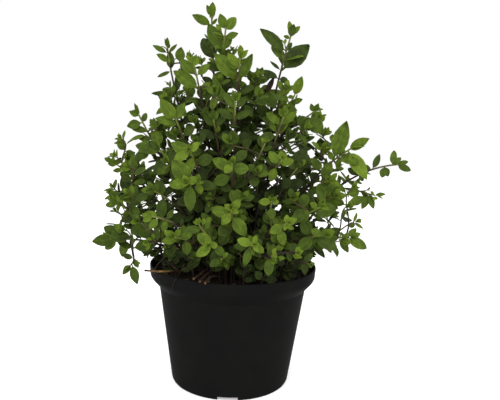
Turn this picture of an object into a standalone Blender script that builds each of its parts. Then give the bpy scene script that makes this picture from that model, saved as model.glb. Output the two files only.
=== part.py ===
"""An oregano plant in a round nursery pot.

A thin moulded pot holds a plug of potting soil, and the leafy stems stand in plain holes in
that soil. Each stem is a square stalk with crosswise pairs of ovate leaves, and some stems
fork. Lengths are in millimetres and angles in degrees until they reach Blender, the pot
stands on z = 0, its axis is the Z axis, and the plant's front faces -Y.
"""

import math
import random
from collections import namedtuple

import bmesh
import bpy
from mathutils import Matrix, Vector
from mathutils.bvhtree import BVHTree

MM = 0.001
FLAT = 1.0  # faces that meet at less than this angle are one flat face
UP = Vector((0, 0, 1))

# The pot: a tapered wall, a collar round its top, and a raised floor plate on a foot ring.
POT_STEPS = 32
RIM_RADIUS = 60.0
RIM_TOP = 86.0
COLLAR_BOTTOM = (59.5, 78.2)  # where the collar's upright face ends
COLLAR_SLOPE = ((58.0, 75.8), (54.9, 72.4), (53.0, 70.4))  # from there in to the wall
WALL_TOP_RADIUS, WALL_TOP = COLLAR_SLOPE[-1]
BASE_RADIUS = 42.7
WALL = 1.3
FLOOR_PLATE = (4.2, 5.8)  # underside and top of the raised floor
PAD_RADIUS = 17.0  # the middle of the floor comes down to stand on the ground
NOTCH = (14.0, 2.6)  # width and height of the drain notches in the foot ring
NOTCH_COUNT = 4
DRAIN_RADIUS = 3.6
DRAIN_RING = 29.0
DRAIN_COUNT = 4
GAP = 0.6  # air between pieces that rest against each other

# The soil: a plug that fills the pot to a little under its rim, slightly mounded.
SOIL_STEPS = 16
SOIL_EDGE_TOP = 79.6
SOIL_MOUND = 2.2
SOIL_CRUMB = 0.9  # how far the surface rises and falls
ROOT_DEPTH = 9.0  # how far a stalk stands in the soil
ROOT_RING = 45.0  # no stalk stands further out than this
ROOT_SHARE = 0.44  # a stalk's foot is this share of its tip's distance from the pot's axis
HOLE_SIDE = 3.1

# Stalks and blades.
STALK_RADIUS = (1.2, 0.8)  # at the foot and at the tip
BRANCH_RADIUS = (0.95, 0.75)
STALK_POINTS = 5
BRANCH_POINTS = 4
BLADE = 0.76  # thickness, measured upright, so that a sloping blade stays over 0.6
LEAF_STALK = (2.0, 0.8)  # length and width of the narrow part that joins a blade to its stem
BLADE_ROWS = ((0.38, 1.0), (1.0, 0.0))  # share of the blade's length, and of its width
LARGE_ROWS = ((0.26, 0.92), (0.66, 0.8), (1.0, 0.0))
LARGE_LEAF = 17.5  # a longer leaf is rounded, and folded at its midrib
FOUR_CORNERED = 1.16  # a plain blade is this much wider, to cover what a rounded one does
BLADE_WIDTH = 0.62  # a leaf's width as a share of its length
BLADE_DROOP = 0.16
BLADE_FOLD = 0.22
GUARD = 0.9  # extra thickness that keeps two blades apart
PAIR_SIZE = (0.58, 0.86, 1.0, 1.0, 0.95, 0.9)  # leaf lengths from the tip down
PAIR_PLACE = (1.0, 6.0, 14.0, 27.0, 42.0, 58.0)  # distance below the tip, for a 14 mm leaf
PAIR_OPENING = (34, 48, 58, 64, 68, 72)  # angle between leaf and stalk
LEVEL_OPENING = 16  # how much wider the leaves of a level shoot open than an upright one's
PLACE_LEAF = 14.0
FACE_UP = 0.25  # how far leaves turn their faces up, and out from the middle of the plant
FACE_OUT = 0.6
ROLL = 28

# tip: where the shoot ends. rise and heading: the way it points there. leaf: its longest leaf.
# twist: turns the leaf pairs about the stalk. pairs: how many. fork: where a branch leaves.
Shoot = namedtuple("Shoot", "tip rise heading leaf twist pairs fork", defaults=(None,))

FRONT_STEMS = [
    # the tall stems of the crown, left to right
    [Shoot((-52, 5, 242), 82, 185, 14, 10, 4)],
    [Shoot((-30, -25, 227), 68, -125, 17, 35, 4), Shoot((-16, 0, 219), 80, -160, 14, 60, 2, 0.62)],
    [Shoot((-21, 5, 269), 84, 110, 16, 15, 5)],
    [Shoot((-9, -12, 256), 74, -60, 15, 70, 4)],
    [Shoot((1, -28, 235), 62, -85, 16, 20, 4), Shoot((10, -2, 232), 78, 20, 16, 50, 2, 0.66)],
    [Shoot((15, 12, 221), 80, 30, 15, 5, 3)],
    [Shoot((37, 5, 255), 74, 12, 21, 12, 4), Shoot((31, -18, 210), 52, -60, 16, 40, 3, 0.55)],
    [Shoot((45, 10, 218), 60, 20, 15, 65, 3), Shoot((56, -14, 200), 45, -20, 15, 20, 2, 0.66)],
    # the shoulder, left to right
    [Shoot((-69, -5, 190), 62, 178, 13, 30, 4)],
    [Shoot((-49, -35, 168), 50, -150, 15, 75, 3)],
    [Shoot((-42, -35, 194), 58, -130, 16, 15, 3)],
    [Shoot((-15, -32, 189), 62, -110, 14, 50, 3), Shoot((-14, -60, 141), 28, -100, 12, 10, 2, 0.45)],
    [Shoot((-1, -41, 201), 62, -90, 13, 40, 4)],
    [Shoot((30, -45, 192), 58, -60, 14, 20, 3), Shoot((29, -63, 166), 42, -72, 12, 55, 3, 0.6)],
    [Shoot((46, -40, 166), 38, -50, 19, 65, 3)],
    # the left flank
    [Shoot((-92, 15, 155), 30, 175, 10, 20, 4)],
    [Shoot((-80, -25, 131), 38, -162, 17, 60, 3)],
    [Shoot((-88, -20, 104), -2, -168, 18, 25, 3), Shoot((-68, -34, 90), -28, -155, 13, 70, 2, 0.68)],
    [Shoot((-51, -45, 142), 28, -150, 17, 15, 3)],
    [Shoot((-49, -65, 129), 12, -165, 10, 55, 3)],
    # rosettes that face forward
    [Shoot((-28, -55, 169), 38, -112, 13, 42, 3), Shoot((-27, -72, 151), 14, -100, 16, 5, 3, 0.62)],
    [Shoot((-1, -66, 163), 36, -90, 13, 52, 3), Shoot((19, -47, 175), 58, -55, 11, 15, 2, 0.6)],
    [Shoot((0, -84, 138), 24, -90, 14, 38, 3)],
    [Shoot((14, -86, 118), 10, -84, 13, 82, 3)],
    [Shoot((33, -79, 130), 20, -68, 12, 30, 3), Shoot((24, -66, 141), 40, -70, 10, 60, 2, 0.64)],
    [Shoot((-12, -84, 116), 8, -102, 14, 25, 3), Shoot((-19, -77, 127), 42, -110, 12, 50, 2, 0.62)],
    [Shoot((-34, -71, 118), 16, -115, 13, 10, 3)],
    # the right flank
    [Shoot((77, -20, 172), 34, -15, 23, 78, 3), Shoot((62, -32, 151), 18, -32, 17, 25, 2, 0.64)],
    [Shoot((121, 10, 161), 2, 4, 10, 20, 4), Shoot((100, -2, 139), -6, -8, 11, 50, 3, 0.52)],
    [Shoot((84, -20, 111), -2, -14, 16, 25, 3)],
    [Shoot((55, -50, 136), 30, -46, 17, 15, 3)],
    [Shoot((59, -45, 117), 12, -36, 18, 60, 3)],
    # low leaves round the foot of the plant
    [Shoot((50, -46, 98), -6, -42, 10, 35, 2)],
    [Shoot((25, -74, 107), 4, -72, 12, 15, 2), Shoot((40, -64, 109), 8, -55, 12, 60, 2, 0.6)],
    [Shoot((-6, -74, 105), 2, -95, 10, 55, 2)],
    [Shoot((-51, -60, 112), 4, -132, 12, 30, 2)],
]

# Old stalks that were cut off: bare, and leaning out over the front of the pot.
CUT_STUBS = [
    Shoot((-23, -61, 89.4), -8, -118, 0, 0, 0),
    Shoot((-19, -63, 88.4), -10, -106, 0, 0, 0),
    Shoot((-15.5, -64, 87.6), -12, -96, 0, 0, 0),
]
STUB_RADIUS = (0.95, 0.9)
STUB_LEAN = 0.6  # how far a stub leans as it leaves the soil
# A dry twig that lies across the rim with one end on the soil.
DRY_TWIG = [
    (-56.8, -44.1, 89.2),
    (-51.5, -41.2, 88.2),
    (-46, -38.2, 87.5),
    (-38, -33, 86.3),
    (-30, -27, 85.0),
    (-22, -21, 84.0),
]
TWIG_RADIUS = (0.6, 0.85)

# The back of the plant, seen from above as rings of stems: how many, from which bearing to
# which, how far out, how high, how steep and how large their leaves are.
Ring = namedtuple("Ring", "count bearings reach height rise leaf pairs")
BACK_RINGS = [
    Ring(6, (22, 158), (80, 96), (108, 138), (5, 30), (13, 17), 3),
    Ring(5, (12, 168), (60, 76), (150, 178), (30, 50), (12, 16), 3),
    Ring(3, (40, 140), (30, 42), (196, 214), (60, 75), (13, 16), 3),
]
BACK_SEED = 7
JITTER_SEED = 11

# Thin branches fill the bush between its main shoots. Each ends where there is most room.
# bulk: (height, middle of its width, radius) of the bush.
BULK = [
    (96, -4, 62), (110, -8, 78), (122, -8, 84), (138, -8, 82), (156, -4, 76),
    (174, -3, 64), (192, -8, 54), (211, -6, 44), (229, -8, 28), (238, -8, 18),
]
BULK_FRONT = 0.78  # its depth towards the front, as a share of its radius
FILL_SEED = 47
FILL_ENDS = 1600  # places that are tried
FILL_COUNT = 9
FILL_REACH = (16.0, 58.0)
FILL_LEAF = (12.5, 15.0)
FILL_PLACES = (1.0, 9.0, 21.0)
FILL_OPENING = (38, 56, 66)
FILL_SIZE = (0.72, 1.0, 0.95)
STEP_UP = 7.0  # between the places on a stalk where a branch may start

POT_BLACK = (0.0105, 0.0100, 0.0095)
SOIL_BROWN = (0.028, 0.019, 0.013)
LEAF_GREEN = (0.085, 0.155, 0.022)
WOOD_BROWN = (0.13, 0.075, 0.045)


# ---------------------------------------------------------------- Blender helpers


def clear_scene():
    for obj in list(bpy.data.objects):
        bpy.data.objects.remove(obj, do_unlink=True)


def new_collection(name):
    made = bpy.data.collections.new(name)
    bpy.context.scene.collection.children.link(made)
    return made


def new_material(name, colour, roughness):
    made = bpy.data.materials.new(name)
    made.use_nodes = True
    shader = made.node_tree.nodes["Principled BSDF"]
    shader.inputs["Base Color"].default_value = (*colour, 1)
    shader.inputs["Roughness"].default_value = roughness
    shader.inputs["Metallic"].default_value = 0.0
    return made


def add_object(name, mesh, collection, material=None):
    obj = bpy.data.objects.new(name, mesh)
    collection.objects.link(obj)
    if material:
        mesh.materials.clear()
        mesh.materials.append(material)
    return obj


def hide_as_cutter(obj):
    obj.hide_render = True
    obj.display_type = "WIRE"


def evaluated_mesh(obj):
    """The object's mesh with its modifiers applied, in its own coordinates."""
    bpy.context.view_layer.update()
    graph = bpy.context.evaluated_depsgraph_get()
    return bpy.data.meshes.new_from_object(obj.evaluated_get(graph))


def apply_modifiers(obj):
    old = obj.data
    made = evaluated_mesh(obj)
    obj.modifiers.clear()
    obj.data = made
    bpy.data.meshes.remove(old)


def merge_flat_faces(obj):
    """Merges the flat neighbours that a Boolean splits, and leaves only triangles."""
    bm = bmesh.new()
    bm.from_mesh(obj.data)
    bmesh.ops.dissolve_limit(
        bm, angle_limit=math.radians(FLAT), verts=bm.verts, edges=bm.edges
    )
    bmesh.ops.triangulate(bm, faces=bm.faces)
    bm.to_mesh(obj.data)
    bm.free()


def combine(obj, collection, operation):
    """Joins every object of the collection to obj, or cuts it away, and removes them."""
    modifier = obj.modifiers.new("combine", "BOOLEAN")
    modifier.operation = operation
    modifier.operand_type = "COLLECTION"
    modifier.collection = collection
    modifier.solver = "EXACT"
    apply_modifiers(obj)
    for other in list(collection.objects):
        bpy.data.objects.remove(other, do_unlink=True)
    bpy.data.collections.remove(collection)
    merge_flat_faces(obj)


# ---------------------------------------------------------------- pot and soil


def turned(name, profile, steps, collection, material):
    """A closed (radius, height) profile turned about Z. It runs down its outer side."""
    bm = bmesh.new()
    ring = [bm.verts.new((r * MM, 0, z * MM)) for r, z in profile]
    for start, end in zip(ring, ring[1:] + ring[:1]):
        on_axis = start.co.x < 1e-9 and end.co.x < 1e-9
        if not on_axis:
            bm.edges.new((start, end))
    mesh = bpy.data.meshes.new(name)
    bm.to_mesh(mesh)
    bm.free()
    obj = add_object(name, mesh, collection, material)
    screw = obj.modifiers.new("turn", "SCREW")
    screw.steps = screw.render_steps = steps
    screw.use_merge_vertices = True
    screw.merge_threshold = 1e-6
    apply_modifiers(obj)
    return obj


def collar_curve(inset):
    """The slope from the collar's upright face in to the wall, as (radius, height)."""
    return [(radius - inset, height) for radius, height in COLLAR_SLOPE]


def inner_radius(height):
    return BASE_RADIUS + (WALL_TOP_RADIUS - BASE_RADIUS) * height / WALL_TOP - WALL


def build_pot(collection, material):
    under, plate_top = FLOOR_PLATE
    outer = [
        (RIM_RADIUS - 0.9, RIM_TOP),
        (RIM_RADIUS, RIM_TOP - 0.9),
        COLLAR_BOTTOM,
        *collar_curve(0.0),
        (BASE_RADIUS + 0.2, 1.6),
        (BASE_RADIUS - 0.7, 0.0),
        (BASE_RADIUS - 2.0, 0.0),
        (inner_radius(under), under),
        (PAD_RADIUS + 3.0, under),
        (PAD_RADIUS, 0.0),
        (0.0, 0.0),
        (0.0, plate_top),
        (inner_radius(plate_top), plate_top),
    ]
    inner = [(r, z) for r, z in reversed(collar_curve(WALL))]
    inner += [(COLLAR_BOTTOM[0] - WALL, COLLAR_BOTTOM[1]), (RIM_RADIUS - WALL, RIM_TOP - 0.3)]
    pot = turned("pot", outer + inner, POT_STEPS, collection, material)
    combine(pot, drain_cutters(), "DIFFERENCE")
    return pot


def drain_cutters():
    """Notches through the foot ring, and round drain holes in the raised floor."""
    cutters = new_collection("drain_cutters")
    width, height = NOTCH
    for index in range(NOTCH_COUNT):
        bearing = math.radians(-90 + 360 * index / NOTCH_COUNT)
        bm = bmesh.new()
        bmesh.ops.create_cube(bm, size=1.0)
        bmesh.ops.scale(bm, vec=(8 * MM, width * MM, 2 * height * MM), verts=bm.verts)
        mesh = bpy.data.meshes.new("notch_cutter")
        bm.to_mesh(mesh)
        bm.free()
        cutter = add_object("notch_cutter", mesh, cutters)
        cutter.location = Vector((math.cos(bearing), math.sin(bearing), 0)) * BASE_RADIUS * MM
        cutter.rotation_euler.z = bearing
        hide_as_cutter(cutter)
    for index in range(DRAIN_COUNT):
        bearing = math.radians(360 * (index + 0.5) / DRAIN_COUNT)
        bm = bmesh.new()
        bmesh.ops.create_cone(
            bm, cap_ends=True, segments=8, radius1=DRAIN_RADIUS * MM, radius2=DRAIN_RADIUS * MM,
            depth=8 * MM,
        )
        mesh = bpy.data.meshes.new("drain_cutter")
        bm.to_mesh(mesh)
        bm.free()
        cutter = add_object("drain_cutter", mesh, cutters)
        centre = Vector((math.cos(bearing), math.sin(bearing), 0)) * DRAIN_RING
        cutter.location = (centre + UP * sum(FLOOR_PLATE) / 2) * MM
        hide_as_cutter(cutter)
    return cutters


def soil_height(x, y):
    """The soil's surface: a low mound with crumbs, in millimetres."""
    out = math.hypot(x, y) / RIM_RADIUS
    crumbs = math.sin(x * 0.31 + 1.7) * math.cos(y * 0.27) + 0.6 * math.sin(x * 0.17 - y * 0.43)
    return SOIL_EDGE_TOP + SOIL_MOUND * (1 - out**2) + SOIL_CRUMB * crumbs * (1 - out**4) / 1.6


def build_soil(collection, material, feet):
    bottom = FLOOR_PLATE[1] + GAP
    edge = COLLAR_BOTTOM[0] - WALL - GAP
    top_rings = [edge, 40.0, 18.0]
    profile = [(0.0, SOIL_EDGE_TOP)]
    profile += [(r, SOIL_EDGE_TOP) for r in reversed(top_rings)]
    profile += [(edge - 0.05, COLLAR_BOTTOM[1])]
    profile += [(r, z) for r, z in collar_curve(WALL + GAP)]
    profile += [(inner_radius(bottom) - GAP, bottom), (0.0, bottom)]
    soil = turned("soil", profile, SOIL_STEPS, collection, material)
    for vert in soil.data.vertices:
        if vert.co.z > (SOIL_EDGE_TOP - 0.01) * MM:
            vert.co.z = soil_height(vert.co.x / MM, vert.co.y / MM) * MM
    bm = bmesh.new()
    bm.from_mesh(soil.data)
    bmesh.ops.triangulate(bm, faces=bm.faces)
    bm.to_mesh(soil.data)
    bm.free()
    holes = new_collection("root_holes")
    for foot in feet:
        bm = bmesh.new()
        bmesh.ops.create_cube(bm, size=1.0)
        side, depth = HOLE_SIDE * MM, (ROOT_DEPTH + GAP) * MM
        bmesh.ops.scale(bm, vec=(side, side, depth + 8 * MM), verts=bm.verts)
        mesh = bpy.data.meshes.new("root_hole")
        bm.to_mesh(mesh)
        bm.free()
        cutter = add_object("root_hole", mesh, holes)
        floor = soil_height(foot.x, foot.y) - ROOT_DEPTH - GAP
        cutter.location = Vector((foot.x, foot.y, floor)) * MM + UP * (depth + 8 * MM) / 2
        cutter.rotation_euler.z = math.radians(45)
        hide_as_cutter(cutter)
    combine(soil, holes, "DIFFERENCE")
    return soil


# ---------------------------------------------------------------- the plant's plan


def bearing_vector(heading, rise=0.0):
    turn, lift = math.radians(heading), math.radians(rise)
    return Vector(
        (math.cos(turn) * math.cos(lift), math.sin(turn) * math.cos(lift), math.sin(lift))
    )


def back_stems():
    """The stems at the back of the plant, from its rings."""
    draw = random.Random(BACK_SEED)
    stems = []
    for ring in BACK_RINGS:
        low, high = ring.bearings
        for index in range(ring.count):
            bearing = low + (high - low) * (index + draw.uniform(0.3, 0.7)) / ring.count
            reach = draw.uniform(*ring.reach)
            tip = bearing_vector(bearing) * reach + UP * draw.uniform(*ring.height)
            rise = draw.uniform(*ring.rise)
            leaf = draw.uniform(*ring.leaf)
            heading = bearing + draw.uniform(-15, 15)
            twist = draw.uniform(0, 90)
            stems.append([Shoot(tuple(tip), rise, heading, leaf, twist, ring.pairs)])
    return stems


def foot_of(shoot):
    """Where a stem stands in the soil."""
    flat = Vector((shoot.tip[0], shoot.tip[1], 0)) * ROOT_SHARE
    if flat.length > ROOT_RING:
        flat *= ROOT_RING / flat.length
    flat.z = soil_height(flat.x, flat.y)
    return flat


def bezier(a, b, c, d, share):
    rest = 1 - share
    return a * rest**3 + b * 3 * rest**2 * share + c * 3 * rest * share**2 + d * share**3


def axis_points(start, way, shoot, count):
    """The line of a stalk from start, where it points along way, to the shoot's tip."""
    tip = Vector(shoot.tip)
    span = (tip - start).length
    end_way = bearing_vector(shoot.heading, shoot.rise)
    leave, arrive = start + way * span * 0.42, tip - end_way * span * 0.34
    return [bezier(start, leave, arrive, tip, i / (count - 1)) for i in range(count)]


class Axis:
    """A stalk's smooth line, read by the distance from its tip."""

    def __init__(self, points):
        self.points = points
        self.lengths = [0.0]
        for a, b in zip(points, points[1:]):
            self.lengths.append(self.lengths[-1] + (b - a).length)

    @property
    def length(self):
        return self.lengths[-1]

    def at(self, distance):
        """(point, direction) at a distance from the start."""
        distance = min(max(distance, 0.0), self.length)
        for a, b, before, after in zip(
            self.points, self.points[1:], self.lengths, self.lengths[1:]
        ):
            if distance <= after:
                share = (distance - before) / max(after - before, 1e-9)
                return a.lerp(b, share), (b - a).normalized()
        return self.points[-1], (self.points[-1] - self.points[-2]).normalized()


def stem_axes(stem, foot):
    """One Axis for each shoot of a stem: the stalk from the soil first, then its branches."""
    main = stem[0]
    lean = (Vector(main.tip) - foot).normalized() * (0.0 if main.pairs else STUB_LEAN)
    axes = [Axis(axis_points(foot, (UP + lean).normalized(), main, STALK_POINTS))]
    for branch in stem[1:]:
        start, way = axes[0].at(axes[0].length * branch.fork)
        out = bearing_vector(branch.heading, 35)
        axes.append(Axis(axis_points(start, (way + out).normalized(), branch, BRANCH_POINTS)))
    return axes


def leaf_matrix(base, way, bearing, opening, roll):
    """A leaf's own frame: Y runs along it, Z is its upper face and X goes across it. The roll
    turns its face about its length."""
    side = way.cross(UP)
    side = side.normalized() if side.length > 0.2 else way.cross(Vector((0, 1, 0))).normalized()
    over = side.cross(way).normalized()
    out = side * math.cos(bearing) + over * math.sin(bearing)
    along = (way * math.cos(opening) + out * math.sin(opening)).normalized()
    away = Vector((base.x, base.y, 0)) / RIM_RADIUS
    face = way * math.sin(opening) - out * math.cos(opening) + UP * FACE_UP + away * FACE_OUT
    face = (face - along * face.dot(along)).normalized()
    face = Matrix.Rotation(roll, 3, along) @ face
    across = along.cross(face).normalized()
    frame = Matrix((across, along, face)).transposed().to_4x4()
    frame.translation = base
    return frame


def blade_mesh(length, width, thickness):
    """One leaf: narrow where it joins the stem, drawn to a point at its tip and arched along
    its length. It is split into triangles and then thickened, so that both of its faces are
    split alike."""
    large = length > LARGE_LEAF
    start, narrow = LEAF_STALK
    rows = [(0.2, narrow), (start, narrow)]
    wide = width if large else width * FOUR_CORNERED
    for along, spread in LARGE_ROWS if large else BLADE_ROWS:
        rows.append((start + (length - start) * along, spread * wide))
    columns = 2 if large else 1
    bm = bmesh.new()
    bmesh.ops.create_grid(bm, x_segments=columns, y_segments=len(rows) - 1, size=0.5)
    for vert in bm.verts:
        row = round((vert.co.y + 0.5) * (len(rows) - 1))
        along, spread = rows[row]
        column = round(2 * vert.co.x)
        if row < 2 and column == 0:
            column = -1  # the leaf's stalk has no midrib line
        across = column * spread / 2
        arch = -BLADE_DROOP * (along / length) ** 2 * length
        fold = BLADE_FOLD * abs(across) if large and row > 1 else 0.0
        vert.co = Vector((across, along, arch + fold))
    bmesh.ops.remove_doubles(bm, verts=bm.verts, dist=1e-5)
    bmesh.ops.triangulate(bm, faces=bm.faces)
    lifted = bmesh.ops.extrude_face_region(bm, geom=bm.faces[:])
    verts = [part for part in lifted["geom"] if isinstance(part, bmesh.types.BMVert)]
    bmesh.ops.translate(bm, vec=UP * thickness, verts=verts)
    bmesh.ops.translate(bm, vec=-UP * thickness / 2, verts=bm.verts)
    bmesh.ops.triangulate(bm, faces=bm.faces)
    bmesh.ops.recalc_face_normals(bm, faces=bm.faces)
    return bm


def tree_of(bm, matrix):
    points = [matrix @ vert.co for vert in bm.verts]
    faces = [[vert.index for vert in face.verts] for face in bm.faces]
    return BVHTree.FromPolygons(points, faces), points


def tube_guard(axis, radius, skip):
    """A square tube round an axis, to keep leaves off the stalk. It leaves out its start."""
    bm = bmesh.new()
    rings = []
    count = 14
    for index in range(count):
        point, way = axis.at(skip + (axis.length - skip) * index / (count - 1))
        side = way.cross(Vector((0.3, 1, 0.1))).normalized()
        over = side.cross(way)
        corners = (side, over, -side, -over)
        rings.append([bm.verts.new(point + corner * radius) for corner in corners])
    for low, high in zip(rings, rings[1:]):
        for i in range(4):
            bm.faces.new((low[i], low[(i + 1) % 4], high[(i + 1) % 4], high[i]))
    bm.verts.index_update()
    return bm


class Room:
    """What already stands in the plant's space, each with its shoot's number."""

    def __init__(self):
        self.taken = []

    def remove(self, owner):
        self.taken = [entry for entry in self.taken if entry[0] != owner]

    def add(self, owner, tree, points):
        low = Vector(tuple(min(p[k] for p in points) for k in range(3)))
        high = Vector(tuple(max(p[k] for p in points) for k in range(3)))
        self.taken.append((owner, tree, low, high))

    def is_free(self, owner, tree, points):
        low = Vector(tuple(min(p[k] for p in points) for k in range(3)))
        high = Vector(tuple(max(p[k] for p in points) for k in range(3)))
        for other, other_tree, other_low, other_high in self.taken:
            if other == owner:
                continue
            if any(low[k] > other_high[k] or high[k] < other_low[k] for k in range(3)):
                continue
            if tree.overlap(other_tree):
                return False
        return True


Leaf = namedtuple("Leaf", "matrix length width")
# Ways to turn a leaf aside when its place is taken: round the stalk, away from it, and size.
ASIDE = (
    (0, 0, 1.0), (14, 0, 1.0), (-14, 0, 1.0), (0, -14, 1.0), (0, 12, 1.0), (26, -8, 0.9),
    (-26, -8, 0.9), (0, -24, 0.85), (38, 6, 0.8), (-38, 6, 0.8), (20, -26, 0.7), (-20, -26, 0.7),
)
SMALLEST_LEAF = 8.0


def place_leaf(room, owner, axis, distance, bearing, opening, roll, length, width_share):
    """The first way of turning this leaf that leaves it clear of the others, or None."""
    base, way = axis.at(distance)
    for turn, spread, size in ASIDE:
        frame = leaf_matrix(
            base, way, bearing + math.radians(turn), math.radians(opening + spread), roll
        )
        long, wide = length * size, length * size * width_share
        if long < SMALLEST_LEAF:
            continue
        guard = blade_mesh(long + 0.5, wide + 0.8, BLADE + GUARD)
        tree, points = tree_of(guard, frame)
        guard.free()
        if room.is_free(owner, tree, points):
            room.add(owner, tree, points)
            return Leaf(frame, long, wide)
    return None


def main_leaves(room, owner, shoot, axis, draw):
    """The large leaves of a shoot: pairs that stand crosswise, from its tip down."""
    leaves = []
    wider = LEVEL_OPENING * (1 - max(shoot.rise, 0) / 90)
    for pair in range(shoot.pairs):
        below = PAIR_PLACE[pair] * shoot.leaf / PLACE_LEAF
        if below > axis.length * 0.9:
            break
        for half in (0, 180):
            bearing = math.radians(shoot.twist + 90 * pair + half + draw.uniform(-9, 9))
            opening = PAIR_OPENING[pair] + wider + draw.uniform(-7, 7)
            length = shoot.leaf * PAIR_SIZE[pair] * draw.uniform(0.88, 1.08)
            share = BLADE_WIDTH * draw.uniform(0.88, 1.1)
            distance = axis.length - below + draw.uniform(-0.4, 0.4)
            roll = math.radians(draw.uniform(-ROLL, ROLL))
            leaf = place_leaf(
                room, owner, axis, distance, bearing, opening, roll, length, share
            )
            if leaf:
                leaves.append(leaf)
    return leaves


def guard_pot_and_soil(room):
    """Keeps leaves off the pot's collar and out of the soil."""
    bm = bmesh.new()
    collar = RIM_RADIUS + 0.8
    bmesh.ops.create_cone(
        bm, cap_ends=False, segments=32, radius1=WALL_TOP_RADIUS, radius2=collar,
        depth=RIM_TOP - WALL_TOP,
    )
    bmesh.ops.translate(bm, vec=UP * (RIM_TOP + WALL_TOP) / 2, verts=bm.verts)
    tree, points = tree_of(bm, Matrix.Identity(4))
    room.add("pot", tree, points)
    bm.free()
    bm = bmesh.new()
    bmesh.ops.create_circle(bm, cap_ends=True, cap_tris=True, segments=32, radius=collar)
    bmesh.ops.translate(bm, vec=UP * (SOIL_EDGE_TOP + SOIL_MOUND + 1.6), verts=bm.verts)
    tree, points = tree_of(bm, Matrix.Identity(4))
    room.add("soil", tree, points)
    bm.free()


def guard_twig(room):
    tree, points = tree_of(tube_guard(Axis([Vector(p) for p in DRY_TWIG]), 1.8, 0.0), Matrix())
    room.add("twig", tree, points)


def place_stem(room, number, stem):
    """The stem's axes, with its foot moved aside where it would cross another stem."""
    wanted = foot_of(stem[0])
    for step in range(40):
        aside = bearing_vector(step * 137.5) * 1.9 * math.sqrt(step)
        foot = wanted + aside
        foot.z = soil_height(foot.x, foot.y)
        if math.hypot(foot.x, foot.y) > ROOT_RING + 4:
            continue
        axes = stem_axes(stem, foot)
        guards = []
        for order, axis in enumerate(axes):
            guard = tube_guard(axis, STALK_RADIUS[0] + 0.5, 0.0 if order == 0 else 3.0)
            guards.append(tree_of(guard, Matrix.Identity(4)))
            guard.free()
        if all(room.is_free(number, *guard) for guard in guards):
            break
    else:
        raise ValueError(f"no room for stem {number}")
    for order, guard in enumerate(guards):
        room.add((number, order), *guard)
    return axes


def bulk_at(height):
    """The middle and the radius of the bush at a height."""
    for (low, low_x, low_r), (high, high_x, high_r) in zip(BULK, BULK[1:]):
        if height <= high:
            share = (height - low) / (high - low)
            return low_x + (high_x - low_x) * share, low_r + (high_r - low_r) * share
    return BULK[-1][1:]


def bulk_points(draw):
    """Places all through the bush, where a thin branch may end."""
    points = []
    for _ in range(FILL_ENDS):
        height = draw.uniform(BULK[0][0], BULK[-1][0])
        middle, radius = bulk_at(height)
        out = bearing_vector(draw.uniform(0, 360)) * radius * math.sqrt(draw.uniform(0.08, 1.0))
        if out.y < 0:
            out.y *= BULK_FRONT
        points.append(out + Vector((middle, 0, height)))
    return points


def leaf_centre(leaf):
    return leaf.matrix @ Vector((0, leaf.length * 0.5, 0))


def fill_branch(room, owner, start, way, end, draw):
    """A thin branch from a stalk to an end in the bush, with its leaves, or None."""
    middle, radius = bulk_at(end.z)
    bearing = math.degrees(math.atan2(end.y, end.x - middle)) + draw.uniform(-25, 25)
    share = (end.z - BULK[0][0]) / (BULK[-1][0] - BULK[0][0])
    rise = 12 + 58 * share + draw.uniform(-12, 12)
    shoot = Shoot(tuple(end), rise, bearing, draw.uniform(*FILL_LEAF), draw.uniform(0, 90), 3)
    leave = (way * 0.5 + (end - start).normalized()).normalized()
    axis = Axis(axis_points(start, leave, shoot, BRANCH_POINTS))
    guard = tube_guard(axis, BRANCH_RADIUS[0] + 0.4, 4.5)
    tree, points = tree_of(guard, Matrix.Identity(4))
    guard.free()
    if not room.is_free(owner[1], tree, points):
        return None
    leaves = []
    for pair, below in enumerate(FILL_PLACES):
        if below > axis.length - 6:
            break
        for half in (0, 180):
            bearing = math.radians(shoot.twist + 90 * pair + half + draw.uniform(-12, 12))
            opening = FILL_OPENING[pair] + draw.uniform(-8, 8)
            length = shoot.leaf * FILL_SIZE[pair] * draw.uniform(0.9, 1.05)
            roll = math.radians(draw.uniform(-ROLL, ROLL))
            leaf = place_leaf(
                room, owner, axis, axis.length - below, bearing, opening, roll, length, BLADE_WIDTH
            )
            if leaf:
                leaves.append(leaf)
    if len(leaves) < 3:
        room.remove(owner)
        return None
    room.add(owner, tree, points)
    return axis, leaves


def fill_bush(room, plan, draw):
    """Adds thin branches to the stems, each where the bush has the widest gap left."""
    starts = []
    for number, (lines, _) in enumerate(plan[: -len(CUT_STUBS)]):
        for order, axis in enumerate(lines):
            distance = STEP_UP * 2
            while distance < axis.length - STEP_UP:
                starts.append((number, order, *axis.at(distance)))
                distance += STEP_UP
    ends = bulk_points(draw)
    centres = [leaf_centre(leaf) for _, shoots in plan for leaves in shoots for leaf in leaves]
    gaps = [min((end - centre).length for centre in centres) for end in ends]
    added = 0
    while added < FILL_COUNT and max(gaps) > 0:
        widest = gaps.index(max(gaps))
        end = ends[widest]
        gaps[widest] = 0.0
        near = sorted(starts, key=lambda start: (start[2] - end).length)
        near = [start for start in near if start[2].z < end.z - 5]
        for number, order, point, way in near[:6]:
            if not FILL_REACH[0] < (end - point).length < FILL_REACH[1]:
                continue
            owner = (("fill", widest), (number, order))
            made = fill_branch(room, owner, point, way, end, draw)
            if made:
                plan[number][0].append(made[0])
                plan[number][1].append(made[1])
                added += 1
                for leaf in made[1]:
                    centre = leaf_centre(leaf)
                    gaps = [min(gap, (e - centre).length) for gap, e in zip(gaps, ends)]
                break


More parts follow.
